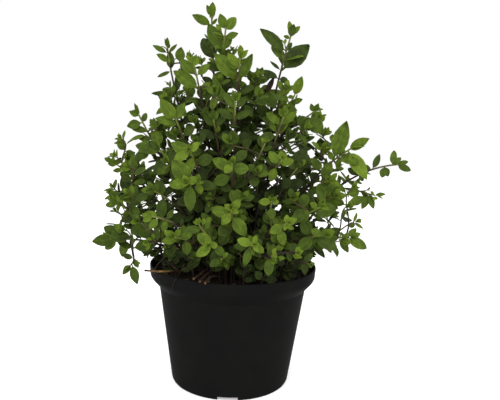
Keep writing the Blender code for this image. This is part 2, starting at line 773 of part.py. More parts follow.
def plan_plant():
    """[(axes, [leaves of each shoot]) of each stem]: every leaf clear of the other shoots."""
    stems = FRONT_STEMS + back_stems() + [[stub] for stub in CUT_STUBS]
    room = Room()
    guard_twig(room)
    axes = [place_stem(room, number, stem) for number, stem in enumerate(stems)]
    guard_pot_and_soil(room)
    draw = random.Random(JITTER_SEED)
    plan = []
    for number, (stem, lines) in enumerate(zip(stems, axes)):
        leaves = [
            main_leaves(room, (number, order), shoot, axis, draw)
            for order, (shoot, axis) in enumerate(zip(stem, lines))
        ]
        plan.append((lines, leaves))
    fill_bush(room, plan, random.Random(FILL_SEED))
    return plan


# ---------------------------------------------------------------- stems


def tube_object(name, points, radii, collection):
    """A square stalk through the points, as a mesh with closed ends."""
    curve = bpy.data.curves.new(name, "CURVE")
    curve.dimensions = "3D"
    curve.bevel_depth = MM
    curve.bevel_resolution = 0
    curve.use_fill_caps = True
    line = curve.splines.new("POLY")
    line.points.add(len(points) - 1)
    for target, point, radius in zip(line.points, points, radii):
        target.co = (*(point * MM), 1)
        target.radius = radius
    guide = bpy.data.objects.new(name + "_line", curve)
    collection.objects.link(guide)
    mesh = evaluated_mesh(guide)
    bpy.data.objects.remove(guide, do_unlink=True)
    bpy.data.curves.remove(curve)
    bm = bmesh.new()
    bm.from_mesh(mesh)
    bmesh.ops.remove_doubles(bm, verts=bm.verts, dist=1e-6)
    bmesh.ops.triangulate(bm, faces=bm.faces)
    bmesh.ops.recalc_face_normals(bm, faces=bm.faces)
    bm.to_mesh(mesh)
    bm.free()
    return add_object(name, mesh, collection)


def tapered(axis, ends):
    """A radius for each point of the axis, from its thick end to its thin one."""
    thick, thin = ends
    return [thick + (thin - thick) * length / axis.length for length in axis.lengths]


def build_stem(name, lines, leaves, collection, material):
    stalk = lines[0]
    root = stalk.points[0] - UP * ROOT_DEPTH
    radii = tapered(stalk, STALK_RADIUS)
    stem = tube_object(name, [root, *stalk.points], [radii[0], *radii], collection)
    stem.data.materials.append(material)
    joined = new_collection(name + "_parts")
    for axis in lines[1:]:
        tube_object(name + "_branch", axis.points, tapered(axis, BRANCH_RADIUS), joined)
    for leaf in (leaf for shoot in leaves for leaf in shoot):
        bm = blade_mesh(leaf.length, leaf.width, BLADE)
        bmesh.ops.transform(bm, matrix=leaf.matrix, verts=bm.verts)
        bmesh.ops.scale(bm, vec=(MM, MM, MM), verts=bm.verts)
        mesh = bpy.data.meshes.new("blade")
        bm.to_mesh(mesh)
        bm.free()
        add_object("blade", mesh, joined)
    combine(stem, joined, "UNION")
    return stem


def main():
    clear_scene()
    plant = new_collection("oregano_plant")
    plastic = new_material("pot_plastic", POT_BLACK, 0.6)
    earth = new_material("potting_soil", SOIL_BROWN, 0.95)
    leaf = new_material("oregano_leaf", LEAF_GREEN, 0.55)
    build_pot(plant, plastic)
    plan = plan_plant()
    build_soil(plant, earth, [lines[0].points[0] for lines, _ in plan])
    wood = new_material("dry_wood", WOOD_BROWN, 0.8)
    leafy, bare = plan[: -len(CUT_STUBS)], plan[-len(CUT_STUBS) :]
    for number, (lines, leaves) in enumerate(leafy, start=1):
        build_stem(f"leafy_stem_{number:02d}", lines, leaves, plant, leaf)
    for number, (lines, _) in enumerate(bare, start=1):
        stalk = lines[0]
        root = stalk.points[0] - UP * ROOT_DEPTH
        radii = [STUB_RADIUS[0], *tapered(stalk, STUB_RADIUS)]
        stub = tube_object(f"cut_stub_{number}", [root, *stalk.points], radii, plant)
        stub.data.materials.append(wood)
    line = Axis([Vector(p) for p in DRY_TWIG])
    twig = tube_object("dry_twig", line.points, tapered(line, TWIG_RADIUS), plant)
    twig.data.materials.append(wood)


main()
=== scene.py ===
import math
import random
from collections import namedtuple

import bmesh
import bpy
import numpy as np
from mathutils import Matrix, Vector, noise
from mathutils.bvhtree import BVHTree


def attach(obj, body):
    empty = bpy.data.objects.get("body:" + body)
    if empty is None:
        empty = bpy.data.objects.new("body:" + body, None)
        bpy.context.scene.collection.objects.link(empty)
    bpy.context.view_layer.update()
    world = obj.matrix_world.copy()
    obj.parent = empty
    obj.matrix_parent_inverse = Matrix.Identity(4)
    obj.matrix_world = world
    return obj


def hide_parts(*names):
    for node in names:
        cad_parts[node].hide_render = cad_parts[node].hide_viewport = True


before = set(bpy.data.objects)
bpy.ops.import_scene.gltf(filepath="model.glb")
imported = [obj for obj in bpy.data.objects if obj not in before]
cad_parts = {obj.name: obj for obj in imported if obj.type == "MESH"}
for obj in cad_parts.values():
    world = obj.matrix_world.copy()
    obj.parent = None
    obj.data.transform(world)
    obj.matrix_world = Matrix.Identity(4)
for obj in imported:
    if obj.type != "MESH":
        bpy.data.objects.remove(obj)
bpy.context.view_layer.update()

mm = 0.001
up = Vector((0, 0, 1))


# the camera comes first, so that everything else is looked at through it

cameraSettings = {
    "place": (10.6, -420.0, 189.0),  # mm from the middle of the pot's base
    "pitchDown": 7.7,
    "roll": 2.01,
    "lens": 42.41,
    "sensor": 36.0,
}


def makeCamera(settings):
    pitch, roll = math.radians(settings["pitchDown"]), math.radians(settings["roll"])
    ahead = Vector((0, math.cos(pitch), -math.sin(pitch)))
    level = Vector((1, 0, 0))
    above = level.cross(ahead)
    right = level * math.cos(roll) + above * math.sin(roll)
    top = above * math.cos(roll) - level * math.sin(roll)
    data = bpy.data.cameras.new("camera")
    data.lens, data.sensor_width = settings["lens"], settings["sensor"]
    camera = bpy.data.objects.new("camera", data)
    bpy.context.scene.collection.objects.link(camera)
    turned = Matrix((right, top, -ahead)).transposed().to_4x4()
    turned.translation = Vector(settings["place"]) * mm
    camera.matrix_world = turned
    bpy.context.scene.camera = camera


makeCamera(cameraSettings)
print("camera placed")


# small helpers


def linear(code):
    # an sRGB hex colour as the linear numbers that a shader takes
    parts = [int(code[i : i + 2], 16) / 255 for i in (1, 3, 5)]
    return (*[p / 12.92 if p <= 0.04045 else ((p + 0.055) / 1.055) ** 2.4 for p in parts], 1.0)


def newMaterial(name):
    material = bpy.data.materials.new(name)
    material.use_nodes = True
    return material, material.node_tree.nodes["Principled BSDF"]


def add(material, kind, links=None, stops=(), **settings):
    # adds a node with its settings and colour stops, and links {input: (node, output)}
    tree = material.node_tree
    node = tree.nodes.new(kind)
    for key, value in settings.items():
        if key.startswith("in_"):
            socket = key[3:]
            socket = int(socket) if socket.isdigit() else socket.replace("_", " ")
            node.inputs[socket].default_value = value
        else:
            setattr(node, key, value)
    if stops:
        elements = node.color_ramp.elements
        while len(elements) < len(stops):
            elements.new(0.5)
        for element, (place, code) in zip(elements, stops):
            element.position, element.color = place, linear(code)
    for target, (source, output) in (links or {}).items():
        tree.links.new(source.outputs[output], node.inputs[target])
    return node


def link(material, source, output, node, target):
    material.node_tree.links.new(source.outputs[output], node.inputs[target])


def deselect():
    if bpy.context.object and bpy.context.object.mode == "EDIT":
        bpy.ops.object.mode_set(mode="OBJECT")
    bpy.ops.object.select_all(action="DESELECT")


def activate(obj):
    deselect()
    obj.select_set(True)
    bpy.context.view_layer.objects.active = obj


def selectVerts(obj, test):
    # in edit mode, selects the vertices whose place passes the test
    bpy.ops.mesh.select_mode(type="VERT")
    bpy.ops.mesh.select_all(action="DESELECT")
    bpy.ops.object.mode_set(mode="OBJECT")
    for vert in obj.data.vertices:
        vert.select = test(vert.co)
    bpy.ops.object.mode_set(mode="EDIT")


def applyAll(obj):
    activate(obj)
    for modifier in list(obj.modifiers):
        bpy.ops.object.modifier_apply(modifier=modifier.name)


def settle(obj):
    # moves the object's place into its mesh
    activate(obj)
    bpy.ops.object.transform_apply(location=True, rotation=True, scale=True)


def joinAll(objects, name):
    deselect()
    for obj in objects:
        obj.select_set(True)
    bpy.context.view_layer.objects.active = objects[0]
    if len(objects) > 1:
        bpy.ops.object.join()
    objects[0].name = objects[0].data.name = name
    return objects[0]


def setMaterials(obj, *materials):
    obj.data.materials.clear()
    for material in materials:
        obj.data.materials.append(material)


def finishPiece(obj, slot, *nodes):
    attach(obj, "root")
    if nodes:
        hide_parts(*nodes)


# materials

leafSkin = {
    # from old leaves, and leaves painted dark as shade deep in the bush, to the youngest at the tips and
    # leaves painted bright as light at the front
    "upper": [(0.0, "#232b16"), (0.3, "#37441d"), (0.6, "#4b5e1f"), (0.88, "#687e26"), (1.0, "#768a30")],
    "under": [(0.0, "#232b18"), (0.5, "#3e4e27"), (1.0, "#6c8036")],
    "rib": (0.014, 0.05),  # half its width and where it has faded, as shares of the leaf's width
    "slant": 0.75,  # side veins are stripes of v - 0.75 u
    "stripes": 38.0,  # which makes six pairs of them
    "margin": 0.40,  # where the margin begins, from the rib
    "patches": (260.0, 2.0),  # unevenness about 4 mm across
    "uneven": 0.12,
    "paler": (0.16, 0.2),  # how much paler veins and margin are
    "relief": {"upper": 0.5, "under": 0.8},
    "gloss": (0.6, 0.08),
    "glow": 0.22,  # share of the light that comes through
}


def setGloss(shader, roughness, gloss):
    shader.inputs["Roughness"].default_value = roughness
    shader.inputs["Specular IOR Level"].default_value = gloss


def makeLeafMaterial(name, side):
    # fresh leaf: a soft green skin that lets some light through, with a pale rib and veins
    material, shader = newMaterial(name)
    (ribIn, ribOut), (scale, detail), uneven = leafSkin["rib"], leafSkin["patches"], leafSkin["uneven"]
    paleVein, paleMargin = leafSkin["paler"]
    tone = add(material, "ShaderNodeAttribute", attribute_name="tone")
    uv = add(material, "ShaderNodeUVMap", uv_map="leafUV")
    parts = add(material, "ShaderNodeSeparateXYZ", {0: (uv, 0)})
    across = add(material, "ShaderNodeMath", {0: (parts, 0)}, operation="SUBTRACT", in_1=0.5)
    across = add(material, "ShaderNodeMath", {0: (across, 0)}, operation="ABSOLUTE")
    rib = add(material, "ShaderNodeMapRange", {0: (across, 0)}, in_1=ribIn, in_2=ribOut, in_3=1.0, in_4=0.0)
    # side veins leave the rib at a slant
    slant = add(material, "ShaderNodeMath", {0: (across, 0)}, operation="MULTIPLY", in_1=leafSkin["slant"])
    slant = add(material, "ShaderNodeMath", {0: (parts, 1), 1: (slant, 0)}, operation="SUBTRACT")
    wave = add(material, "ShaderNodeMath", {0: (slant, 0)}, operation="MULTIPLY", in_1=leafSkin["stripes"])
    wave = add(material, "ShaderNodeMath", {0: (wave, 0)}, operation="SINE")
    vein = add(material, "ShaderNodeMapRange", {0: (wave, 0)}, in_1=0.72, in_2=1.0, in_3=0.0, in_4=0.5)
    veins = add(material, "ShaderNodeMath", {0: (rib, 0), 1: (vein, 0)}, operation="MAXIMUM")
    margin = {"in_1": leafSkin["margin"], "in_2": 0.5, "in_3": 0.0, "in_4": 0.55}
    edge = add(material, "ShaderNodeMapRange", {0: (across, 0)}, **margin)
    place = add(material, "ShaderNodeTexCoord")
    cloud = add(material, "ShaderNodeTexNoise", {0: (place, "Object")}, in_Scale=scale, in_Detail=detail)
    lift = add(material, "ShaderNodeMapRange", {0: (cloud, 0)}, in_1=0.3, in_2=0.7, in_3=-uneven, in_4=uneven)
    mixed = add(material, "ShaderNodeMath", {0: (tone, "Fac"), 1: (lift, 0)}, operation="ADD")
    # the rib, the veins and the margin are a little paler than the rest
    links = {0: (veins, 0), 2: (mixed, 0)}
    ribs = add(material, "ShaderNodeMath", links, operation="MULTIPLY_ADD", in_1=paleVein)
    links = {0: (edge, 0), 2: (ribs, 0)}
    rims = add(material, "ShaderNodeMath", links, operation="MULTIPLY_ADD", in_1=paleMargin)
    body = add(material, "ShaderNodeValToRGB", {0: (rims, 0)}, leafSkin[side])
    link(material, body, 0, shader, "Base Color")
    height = add(material, "ShaderNodeMath", {0: (veins, 0)}, operation="MULTIPLY", in_1=-1.0)
    relief = leafSkin["relief"][side]
    dent = add(material, "ShaderNodeBump", {"Height": (height, 0)}, in_Strength=relief, in_Distance=0.0002)
    link(material, dent, 0, shader, "Normal")
    setGloss(shader, *leafSkin["gloss"])
    glow = add(material, "ShaderNodeBsdfTranslucent", {"Color": (body, 0)})
    both = add(material, "ShaderNodeMixShader", {1: (shader, 0), 2: (glow, 0)}, in_0=leafSkin["glow"])
    link(material, both, 0, material.node_tree.nodes["Material Output"], "Surface")
    return material


# patches: the noise's scale per metre, so that 500 gives patches of 2 mm, and its detail.
# gloss: roughness and specular level. bump: strength and depth
finishes = {
    # a soft square stalk: dark purple brown where it is old and green at its tip
    "stalkSkin": {
        "patches": (120.0, 2.0), "spread": 0.15, "gloss": (0.6, 0.25),
        "stops": [(0.0, "#201813"), (0.45, "#2a1f17"), (0.75, "#463f24"), (1.0, "#67722f")],
    },
    # black polypropylene, injection moulded: dull, with a faint grain and a little dust
    "blackPolypropylene": {
        "patches": (55.0, 4.0), "gloss": (0.6, 0.012),
        "stops": [(0.35, "#121212"), (0.65, "#141413"), (1.0, "#1b1b1a")],
    },
    # moist peat: almost black, with browner fibre and bark
    "moistPeat": {
        "patches": (420.0, 5.0), "gloss": (0.9, 0.15), "bump": (0.7, 0.0008),
        "stops": [(0.3, "#191612"), (0.55, "#2a221b"), (0.8, "#4c3c2c")],
    },
    # dry stalk: dull brown, paler where a cut shows the wood, and palest where a highlight is painted on the
    # dry twig
    "dryStalkWood": {
        "patches": (500.0, 3.0), "spread": 0.25, "gloss": (0.8, 0.2), "bump": (0.4, 0.0003),
        "stops": [(0.0, "#17100c"), (0.45, "#2b1c14"), (0.8, "#5a4426"), (1.0, "#8a7040")],
    },
    # pine bark, shredded: dull red brown crumbs
    "pineBark": {
        "patches": (500.0, 3.0), "spread": 0.25, "gloss": (0.8, 0.2), "bump": (0.4, 0.0003),
        "stops": [(0.0, "#17110c"), (0.5, "#3a2a1e"), (1.0, "#6a5038")],
    },
}


def makePatchyMaterial(name):
    # a colour that wanders in soft patches, round the piece's own tone where it has one
    material, shader = newMaterial(name)
    finish = finishes[name]
    scale, detail = finish["patches"]
    place = add(material, "ShaderNodeTexCoord")
    cloud = add(material, "ShaderNodeTexNoise", {0: (place, "Object")}, in_Scale=scale, in_Detail=detail)
    mixed = cloud
    if "spread" in finish:
        low, high = -finish["spread"], finish["spread"]
        tone = add(material, "ShaderNodeAttribute", attribute_name="tone")
        lift = add(material, "ShaderNodeMapRange", {0: (cloud, 0)}, in_1=0.3, in_2=0.7, in_3=low, in_4=high)
        mixed = add(material, "ShaderNodeMath", {0: (tone, "Fac"), 1: (lift, 0)}, operation="ADD")
    body = add(material, "ShaderNodeValToRGB", {0: (mixed, 0)}, finish["stops"])
    link(material, body, 0, shader, "Base Color")
    if "bump" in finish:
        rough, deep = finish["bump"]
        dent = add(material, "ShaderNodeBump", {"Height": (cloud, 0)}, in_Strength=rough, in_Distance=deep)
        link(material, dent, 0, shader, "Normal")
    setGloss(shader, *finish["gloss"])
    return material


def addMouldGrain(material):
    # the mould's grain, 0.4 mm across. What faces down is painted near black: painted shade on the pot's
    # undersides
    nodes = material.node_tree.nodes
    place, body, shader = nodes["Texture Coordinate"], nodes["Color Ramp"], nodes["Principled BSDF"]
    parts = add(material, "ShaderNodeSeparateXYZ", {0: (place, "Normal")})
    # faces that point down keep less of the body colour: painted shade
    unshadedShare = add(material, "ShaderNodeMapRange", {0: (parts, 2)}, in_1=-0.5, in_2=0.0, in_3=0.8, in_4=1.0)
    shadedBody = add(material, "ShaderNodeMix", {0: (unshadedShare, 0), 7: (body, 0)}, data_type="RGBA")
    shadedBody.inputs[6].default_value = linear("#020202")
    link(material, shadedBody, 2, shader, "Base Color")
    grain = add(material, "ShaderNodeTexNoise", {0: (place, "Object")}, in_Scale=2600.0, in_Detail=1.0)
    dent = add(material, "ShaderNodeBump", {"Height": (grain, 0)}, in_Strength=0.12, in_Distance=0.0001)
    link(material, dent, 0, shader, "Normal")


leafUpper = makeLeafMaterial("leafUpperSkin", "upper")
leafUnder = makeLeafMaterial("leafUnderSkin", "under")
stalkSkin = makePatchyMaterial("stalkSkin")
potPlastic = makePatchyMaterial("blackPolypropylene")
addMouldGrain(potPlastic)
moistPeat = makePatchyMaterial("moistPeat")
dryWood = makePatchyMaterial("dryStalkWood")
barkChip = makePatchyMaterial("pineBark")
print("materials made")


# the pot

pot = {
    "sides": 128,
    "collarBottom": (59.5, 78.2),
    "collarSlope": [(58.0, 75.8), (54.9, 72.4), (53.0, 70.4)],
    "rimRadius": 60.0,
    "rimTop": 86.0,
    "baseRadius": 42.7,
    "wall": 1.3,
    "floor": (4.2, 5.8),  # height of the raised floor's underside and of its top
    "pad": 17.0,  # radius of the flat pad that the pot rests on in the middle
    "notch": (14.0, 2.6),  # width and height of each notch in the foot ring
    "notchCount": 4,
    "drain": (3.6, 29.0, 4),  # radius, ring and count of the drain holes
    "footRing": [(-2.0, 0.0), (-0.7, 0.0), (0.2, 1.6)],  # from the base radius
    "lip": [(0.0, -0.9), (-0.3, 0.0), (-1.0, 0.0)],  # from the rim's radius and top
    "corner": 0.9,  # how far each inner corner is rounded
    "cutDepth": 8.0,
}


def wallRadius(height):
    # the wall's inner radius
    topRadius, topHeight = pot["collarSlope"][-1]
    return pot["baseRadius"] + (topRadius - pot["baseRadius"]) * height / topHeight - pot["wall"]


def lathe(name, profile, sides):
    # extrudes a circle from ring to ring: (radius, height) in mm, and closes it at the axis
    before, height = max(profile[0][0], 0.01), profile[0][1]
    deselect()
    bpy.ops.mesh.primitive_circle_add(vertices=sides, radius=before * mm, location=(0, 0, height * mm))
    obj = bpy.context.object
    settle(obj)
    bpy.ops.object.mode_set(mode="EDIT")
    bpy.ops.mesh.select_all(action="SELECT")
    for radius, nextHeight in profile[1:]:
        bpy.ops.mesh.extrude_region_move(TRANSFORM_OT_translate={"value": (0, 0, (nextHeight - height) * mm)})
        share = max(radius, 0.01) / before
        bpy.ops.transform.resize(value=(share, share, 1), center_override=(0, 0, nextHeight * mm))
        before, height = max(radius, 0.01), nextHeight
    bpy.ops.mesh.select_all(action="SELECT")
    bpy.ops.mesh.remove_doubles(threshold=0.00003)
    bpy.ops.mesh.select_all(action="SELECT")
    bpy.ops.mesh.normals_make_consistent(inside=False)
    bpy.ops.object.mode_set(mode="OBJECT")
    obj.name = obj.data.name = name
    return obj


def roundedCorner(a, corner, b, reach):
    # points of a small round corner between two straight runs
    first = corner + (a - corner).normalized() * reach
    last = corner + (b - corner).normalized() * reach
    return [first.lerp(corner, t).lerp(corner.lerp(last, t), t) for t in (0, 0.25, 0.5, 0.75, 1)]


def smoothProfile(profile, reach):
    # rounds every inner corner of the profile, as a mould does
    points = [Vector((r, z)) for r, z in profile]
    made = [points[0]]
    for a, corner, b in zip(points, points[1:], points[2:]):
        limit = min(reach, (a - corner).length * 0.45, (b - corner).length * 0.45)
        turn = (corner - a).angle(b - corner)
        made += roundedCorner(a, corner, b, limit) if turn > 0.08 else [corner]
    made.append(points[-1])
    return [(p.x, p.y) for p in made]


def makePot():
    under, plate = pot["floor"]
    rim, top, wall, base = pot["rimRadius"], pot["rimTop"], pot["wall"], pot["baseRadius"]
    slope = pot["collarSlope"]
    outer = [
        (0.0, 0.0), (pot["pad"], 0.0), (pot["pad"] + 3.0, under), (wallRadius(under), under),
        *[(base + r, z) for r, z in pot["footRing"]], *reversed(slope),
        pot["collarBottom"], *[(rim + r, top + z) for r, z in pot["lip"]],
    ]
    inner = [
        (rim - wall, top - 0.5), (pot["collarBottom"][0] - wall, pot["collarBottom"][1]),
        *[(r - wall, z) for r, z in slope], (wallRadius(plate), plate), (0.0, plate),
    ]
    shell = lathe("nurseryPot", smoothProfile(outer + inner, pot["corner"]), pot["sides"])
    cutters, deep = [], pot["cutDepth"]
    width, height = pot["notch"]
    for i in range(pot["notchCount"]):
        bearing = math.radians(-90 + 360 * i / pot["notchCount"])
        deselect()
        bpy.ops.mesh.primitive_cube_add(
            size=1, location=(math.cos(bearing) * base * mm, math.sin(bearing) * base * mm, 0),
            rotation=(0, 0, bearing), scale=(deep * mm, width * mm, 2 * height * mm),
        )
        cutters.append(bpy.context.object)
    radius, ring, count = pot["drain"]
    for i in range(count):
        bearing = math.radians(360 * (i + 0.5) / count)
        deselect()
        bpy.ops.mesh.primitive_cylinder_add(
            vertices=32, radius=radius * mm, depth=deep * mm,
            location=(math.cos(bearing) * ring * mm, math.sin(bearing) * ring * mm, 5 * mm),
        )
        cutters.append(bpy.context.object)
    cutter = joinAll(cutters, "potCutter")
    settle(cutter)
    activate(shell)
    cut = shell.modifiers.new("cut", "BOOLEAN")
    cut.operation, cut.solver, cut.object = "DIFFERENCE", "EXACT", cutter
    applyAll(shell)
    bpy.data.objects.remove(cutter, do_unlink=True)
    activate(shell)
    bpy.ops.object.shade_smooth_by_angle(angle=math.radians(35))
    setMaterials(shell, potPlastic)
    finishPiece(shell, "pot_plastic", "pot")
    return shell


makePot()
print("pot made")


# the soil

soil = {
    "sides": 96,
    "gap": 0.6,  # between the soil and the pot
    "edgeTop": 79.6,
    "mound": 2.2,  # how much higher its middle is than its edge
    "crumb": 0.9,  # height of its broad unevenness
    "rings": 44,
    "crumbs": ((0.34, 0.9), (0.22, 0.8)),  # how fine and how high each size of crumb is
    "bits": 560,  # crumbs of bark
    "bitSizes": (0.35, 0.5, 0.7, 0.9, 1.3),
    "spread": 57.0,  # how far from the middle they lie
    "washed": (50, 57.5),  # and those that have washed to the rim
    "seed": 5,
}


def soilHeight(x, y):
    # the low mound that the plant stands in
    out = math.hypot(x, y) / pot["rimRadius"]
    crumbs = math.sin(x * 0.31 + 1.7) * math.cos(y * 0.27) + 0.6 * math.sin(x * 0.17 - y * 0.43)
    return soil["edgeTop"] + soil["mound"] * (1 - out**2) + soil["crumb"] * crumbs * (1 - out**4) / 1.6


def makeSoil():
    wall, gap = pot["wall"], soil["gap"]
    edge = pot["collarBottom"][0] - wall - gap
    bottom = pot["floor"][1] + gap
    rings = [edge * (1 - i / soil["rings"]) for i in range(soil["rings"])] + [0.0]
    profile = [(0.0, bottom), (wallRadius(bottom) - gap, bottom)]
    profile += [(r - wall - gap, z) for r, z in reversed(pot["collarSlope"])]
    profile += [(edge - 0.05, pot["collarBottom"][1])]
    profile += [(r, soil["edgeTop"]) for r in rings]
    plug = lathe("peatSoil", profile, soil["sides"])
    # crumbly: the surface follows the mound, with clods of 2 to 6 mm
    (fineness, fine), (coarseness, coarse) = soil["crumbs"]
    for vert in plug.data.vertices:
        x, y, z = vert.co / mm
        if z > soil["edgeTop"] - 0.2:
            grain = noise.fractal(Vector((x, y, 0)) * fineness, 1.0, 2.0, 3)
            clod = noise.noise(Vector((x, y, 9)) * coarseness)
            vert.co.z = (soilHeight(x, y) + fine * grain + coarse * clod) * mm
    activate(plug)
    bpy.ops.object.shade_smooth_by_angle(angle=math.radians(40))
    setMaterials(plug, moistPeat)
    finishPiece(plug, "potting_soil", "soil")


def makeChip():
    # one crumb of bark: a ball pressed flat and roughened
    deselect()
    bpy.ops.mesh.primitive_ico_sphere_add(subdivisions=1, radius=1 * mm)
    chip = bpy.context.object
    bpy.ops.object.mode_set(mode="EDIT")
    bpy.ops.mesh.select_all(action="SELECT")
    bpy.ops.transform.resize(value=(1.5, 0.9, 0.5))
    bpy.ops.transform.vertex_random(offset=0.25 * mm, seed=3)
    bpy.ops.object.mode_set(mode="OBJECT")
    setMaterials(chip, barkChip)
    chip.data.attributes.new("tone", "FLOAT", "POINT")
    return chip


def copyForm(form, matrix, tone):
    # a copy of the form with its place in its own mesh and one tone all over
    one = form.copy()
    one.data = form.data.copy()
    one.data.transform(matrix)
    one.data.attributes["tone"].data.foreach_set("value", [tone] * len(one.data.vertices))
    bpy.context.scene.collection.objects.link(one)
    return one


def scatterChips():
    draw = random.Random(soil["seed"])
    chip = makeChip()
    chips = []
    spread, rim = soil["spread"], soil["washed"]
    for i in range(soil["bits"]):
        # every third one has washed to the rim
        reach = spread * math.sqrt(draw.random()) if i % 3 else draw.uniform(*rim)
        bearing = draw.uniform(0, 2 * math.pi)
        x, y = reach * math.cos(bearing), reach * math.sin(bearing)
        size = draw.choice(soil["bitSizes"])
        turned = Matrix.Rotation(draw.uniform(0, 6.28), 4, "Z")
        turned = turned @ Matrix.Rotation(draw.uniform(-0.7, 0.7), 4, "X")
        place = Matrix.Translation(Vector((x, y, soilHeight(x, y) + 0.5 * size + 0.3)) * mm)
        chips.append(copyForm(chip, place @ turned @ Matrix.Diagonal((size, size, size, 1)), draw.random()))
    bpy.data.objects.remove(chip, do_unlink=True)
    finishPiece(joinAll(chips, "barkBits"), "potting_soil")


makeSoil()
scatterChips()
print("soil made")


# the plan of the plant: where every stalk and leaf stands, in mm and degrees

blade = {
    "thick": 0.76,
    "joint": (2.0, 0.8),  # length and width of the narrow part that joins a leaf to its stalk
    "rows": ((0.38, 1.0), (1.0, 0.0)),  # share of the length, and of the width
    "largeRows": ((0.26, 0.92), (0.66, 0.8), (1.0, 0.0)),
    "large": 17.5,  # a longer leaf is rounded, and folded at its rib
    "fourCornered": 1.16,  # how much wider a plain one is, to cover as much
    "width": 0.62,
    "droop": 0.16,
    "fold": 0.22,
    "guard": (0.5, 0.8, 0.9),  # room kept along it, across it and above it
    "smallest": 8.0,
}
pairs = {
    # from the tip down: share of the shoot's longest leaf, mm below the tip, and degrees from the stalk
    "size": (0.58, 0.86, 1.0, 1.0, 0.95, 0.9),
    "place": (1.0, 6.0, 14.0, 27.0, 42.0, 58.0),
    "opening": (34, 48, 58, 64, 68, 72),
    "placeLeaf": 14.0,  # the longest leaf that the places are given for
    "faceUp": 0.25,  # how much the upper faces turn up, and away from the pot's axis
    "faceOut": 0.6,
    "roll": 28,
    "turn": 9,  # how far a leaf stands from its rule at most
    "open": 7,
    "length": (0.88, 1.08),
    "share": (0.88, 1.1),
    "seed": 11,
    "levelOpening": 16,  # how much wider the leaves of a level shoot open than an upright one's
}
stalk = {
    "points": 5,
    "branchPoints": 4,
    "radius": 1.2,
    "branchRadius": 0.95,
    "stubLean": 0.6,  # how far a stub leans as it leaves the soil
    "rootRing": 45.0,
    "rootShare": 0.44,
    "leave": 0.42,  # how far it keeps the way it leaves in, as a share of its span
    "arrive": 0.34,  # and the way it arrives in
    "footTries": 40,
    "footStep": 1.9,  # how far apart the places lie where a foot is tried, in mm
    "goldenAngle": 137.5,
}

Shoot = namedtuple("Shoot", "tip rise heading leaf twist pairs fork", defaults=(None,))
Ring = namedtuple("Ring", "count bearings reach height rise leaf pairs")
Leaf = namedtuple("Leaf", "matrix length width")

# tip: where the shoot ends. rise and heading: the way it points there. leaf: its longest leaf.
# twist: turns its leaf pairs about the stalk. pairs: how many. fork: where a branch leaves.
frontStems = [
    # the tall stems of the crown, left to right
    [Shoot((-52, 5, 242), 82, 185, 14, 10, 4)],
    [Shoot((-30, -25, 227), 68, -125, 17, 35, 4), Shoot((-16, 0, 219), 80, -160, 14, 60, 2, 0.62)],
    [Shoot((-21, 5, 269), 84, 110, 16, 15, 5)],
    [Shoot((-9, -12, 256), 74, -60, 15, 70, 4)],
    [Shoot((1, -28, 235), 62, -85, 16, 20, 4), Shoot((10, -2, 232), 78, 20, 16, 50, 2, 0.66)],
    [Shoot((15, 12, 221), 80, 30, 15, 5, 3)],
    [Shoot((37, 5, 255), 74, 12, 21, 12, 4), Shoot((31, -18, 210), 52, -60, 16, 40, 3, 0.55)],
    [Shoot((45, 10, 218), 60, 20, 15, 65, 3), Shoot((56, -14, 200), 45, -20, 15, 20, 2, 0.66)],
    # the shoulder, left to right
    [Shoot((-69, -5, 190), 62, 178, 13, 30, 4)],
    [Shoot((-49, -35, 168), 50, -150, 15, 75, 3)],
    [Shoot((-42, -35, 194), 58, -130, 16, 15, 3)],
    [Shoot((-15, -32, 189), 62, -110, 14, 50, 3), Shoot((-14, -60, 141), 28, -100, 12, 10, 2, 0.45)],
    [Shoot((-1, -41, 201), 62, -90, 13, 40, 4)],
    [Shoot((30, -45, 192), 58, -60, 14, 20, 3), Shoot((29, -63, 166), 42, -72, 12, 55, 3, 0.6)],
    [Shoot((46, -40, 166), 38, -50, 19, 65, 3)],
    # the left flank
    [Shoot((-92, 15, 155), 30, 175, 10, 20, 4)],
    [Shoot((-80, -25, 131), 38, -162, 17, 60, 3)],
    [Shoot((-88, -20, 104), -2, -168, 18, 25, 3), Shoot((-68, -34, 90), -28, -155, 13, 70, 2, 0.68)],
    [Shoot((-51, -45, 142), 28, -150, 17, 15, 3)],
    [Shoot((-49, -65, 129), 12, -165, 10, 55, 3)],
    # rosettes that face forward
    [Shoot((-28, -55, 169), 38, -112, 13, 42, 3), Shoot((-27, -72, 151), 14, -100, 16, 5, 3, 0.62)],
    [Shoot((-1, -66, 163), 36, -90, 13, 52, 3), Shoot((19, -47, 175), 58, -55, 11, 15, 2, 0.6)],
    [Shoot((0, -84, 138), 24, -90, 14, 38, 3)],
    [Shoot((14, -86, 118), 10, -84, 13, 82, 3)],
    [Shoot((33, -79, 130), 20, -68, 12, 30, 3), Shoot((24, -66, 141), 40, -70, 10, 60, 2, 0.64)],
    [Shoot((-12, -84, 116), 8, -102, 14, 25, 3), Shoot((-19, -77, 127), 42, -110, 12, 50, 2, 0.62)],
    [Shoot((-34, -71, 118), 16, -115, 13, 10, 3)],
    # the right flank
    [Shoot((77, -20, 172), 34, -15, 23, 78, 3), Shoot((62, -32, 151), 18, -32, 17, 25, 2, 0.64)],
    [Shoot((121, 10, 161), 2, 4, 10, 20, 4), Shoot((100, -2, 139), -6, -8, 11, 50, 3, 0.52)],
    [Shoot((84, -20, 111), -2, -14, 16, 25, 3)],
    [Shoot((55, -50, 136), 30, -46, 17, 15, 3)],
    [Shoot((59, -45, 117), 12, -36, 18, 60, 3)],
    # low leaves round the foot of the plant
    [Shoot((50, -46, 98), -6, -42, 10, 35, 2)],
    [Shoot((25, -74, 107), 4, -72, 12, 15, 2), Shoot((40, -64, 109), 8, -55, 12, 60, 2, 0.6)],
    [Shoot((-6, -74, 105), 2, -95, 10, 55, 2)],
    [Shoot((-51, -60, 112), 4, -132, 12, 30, 2)],
]

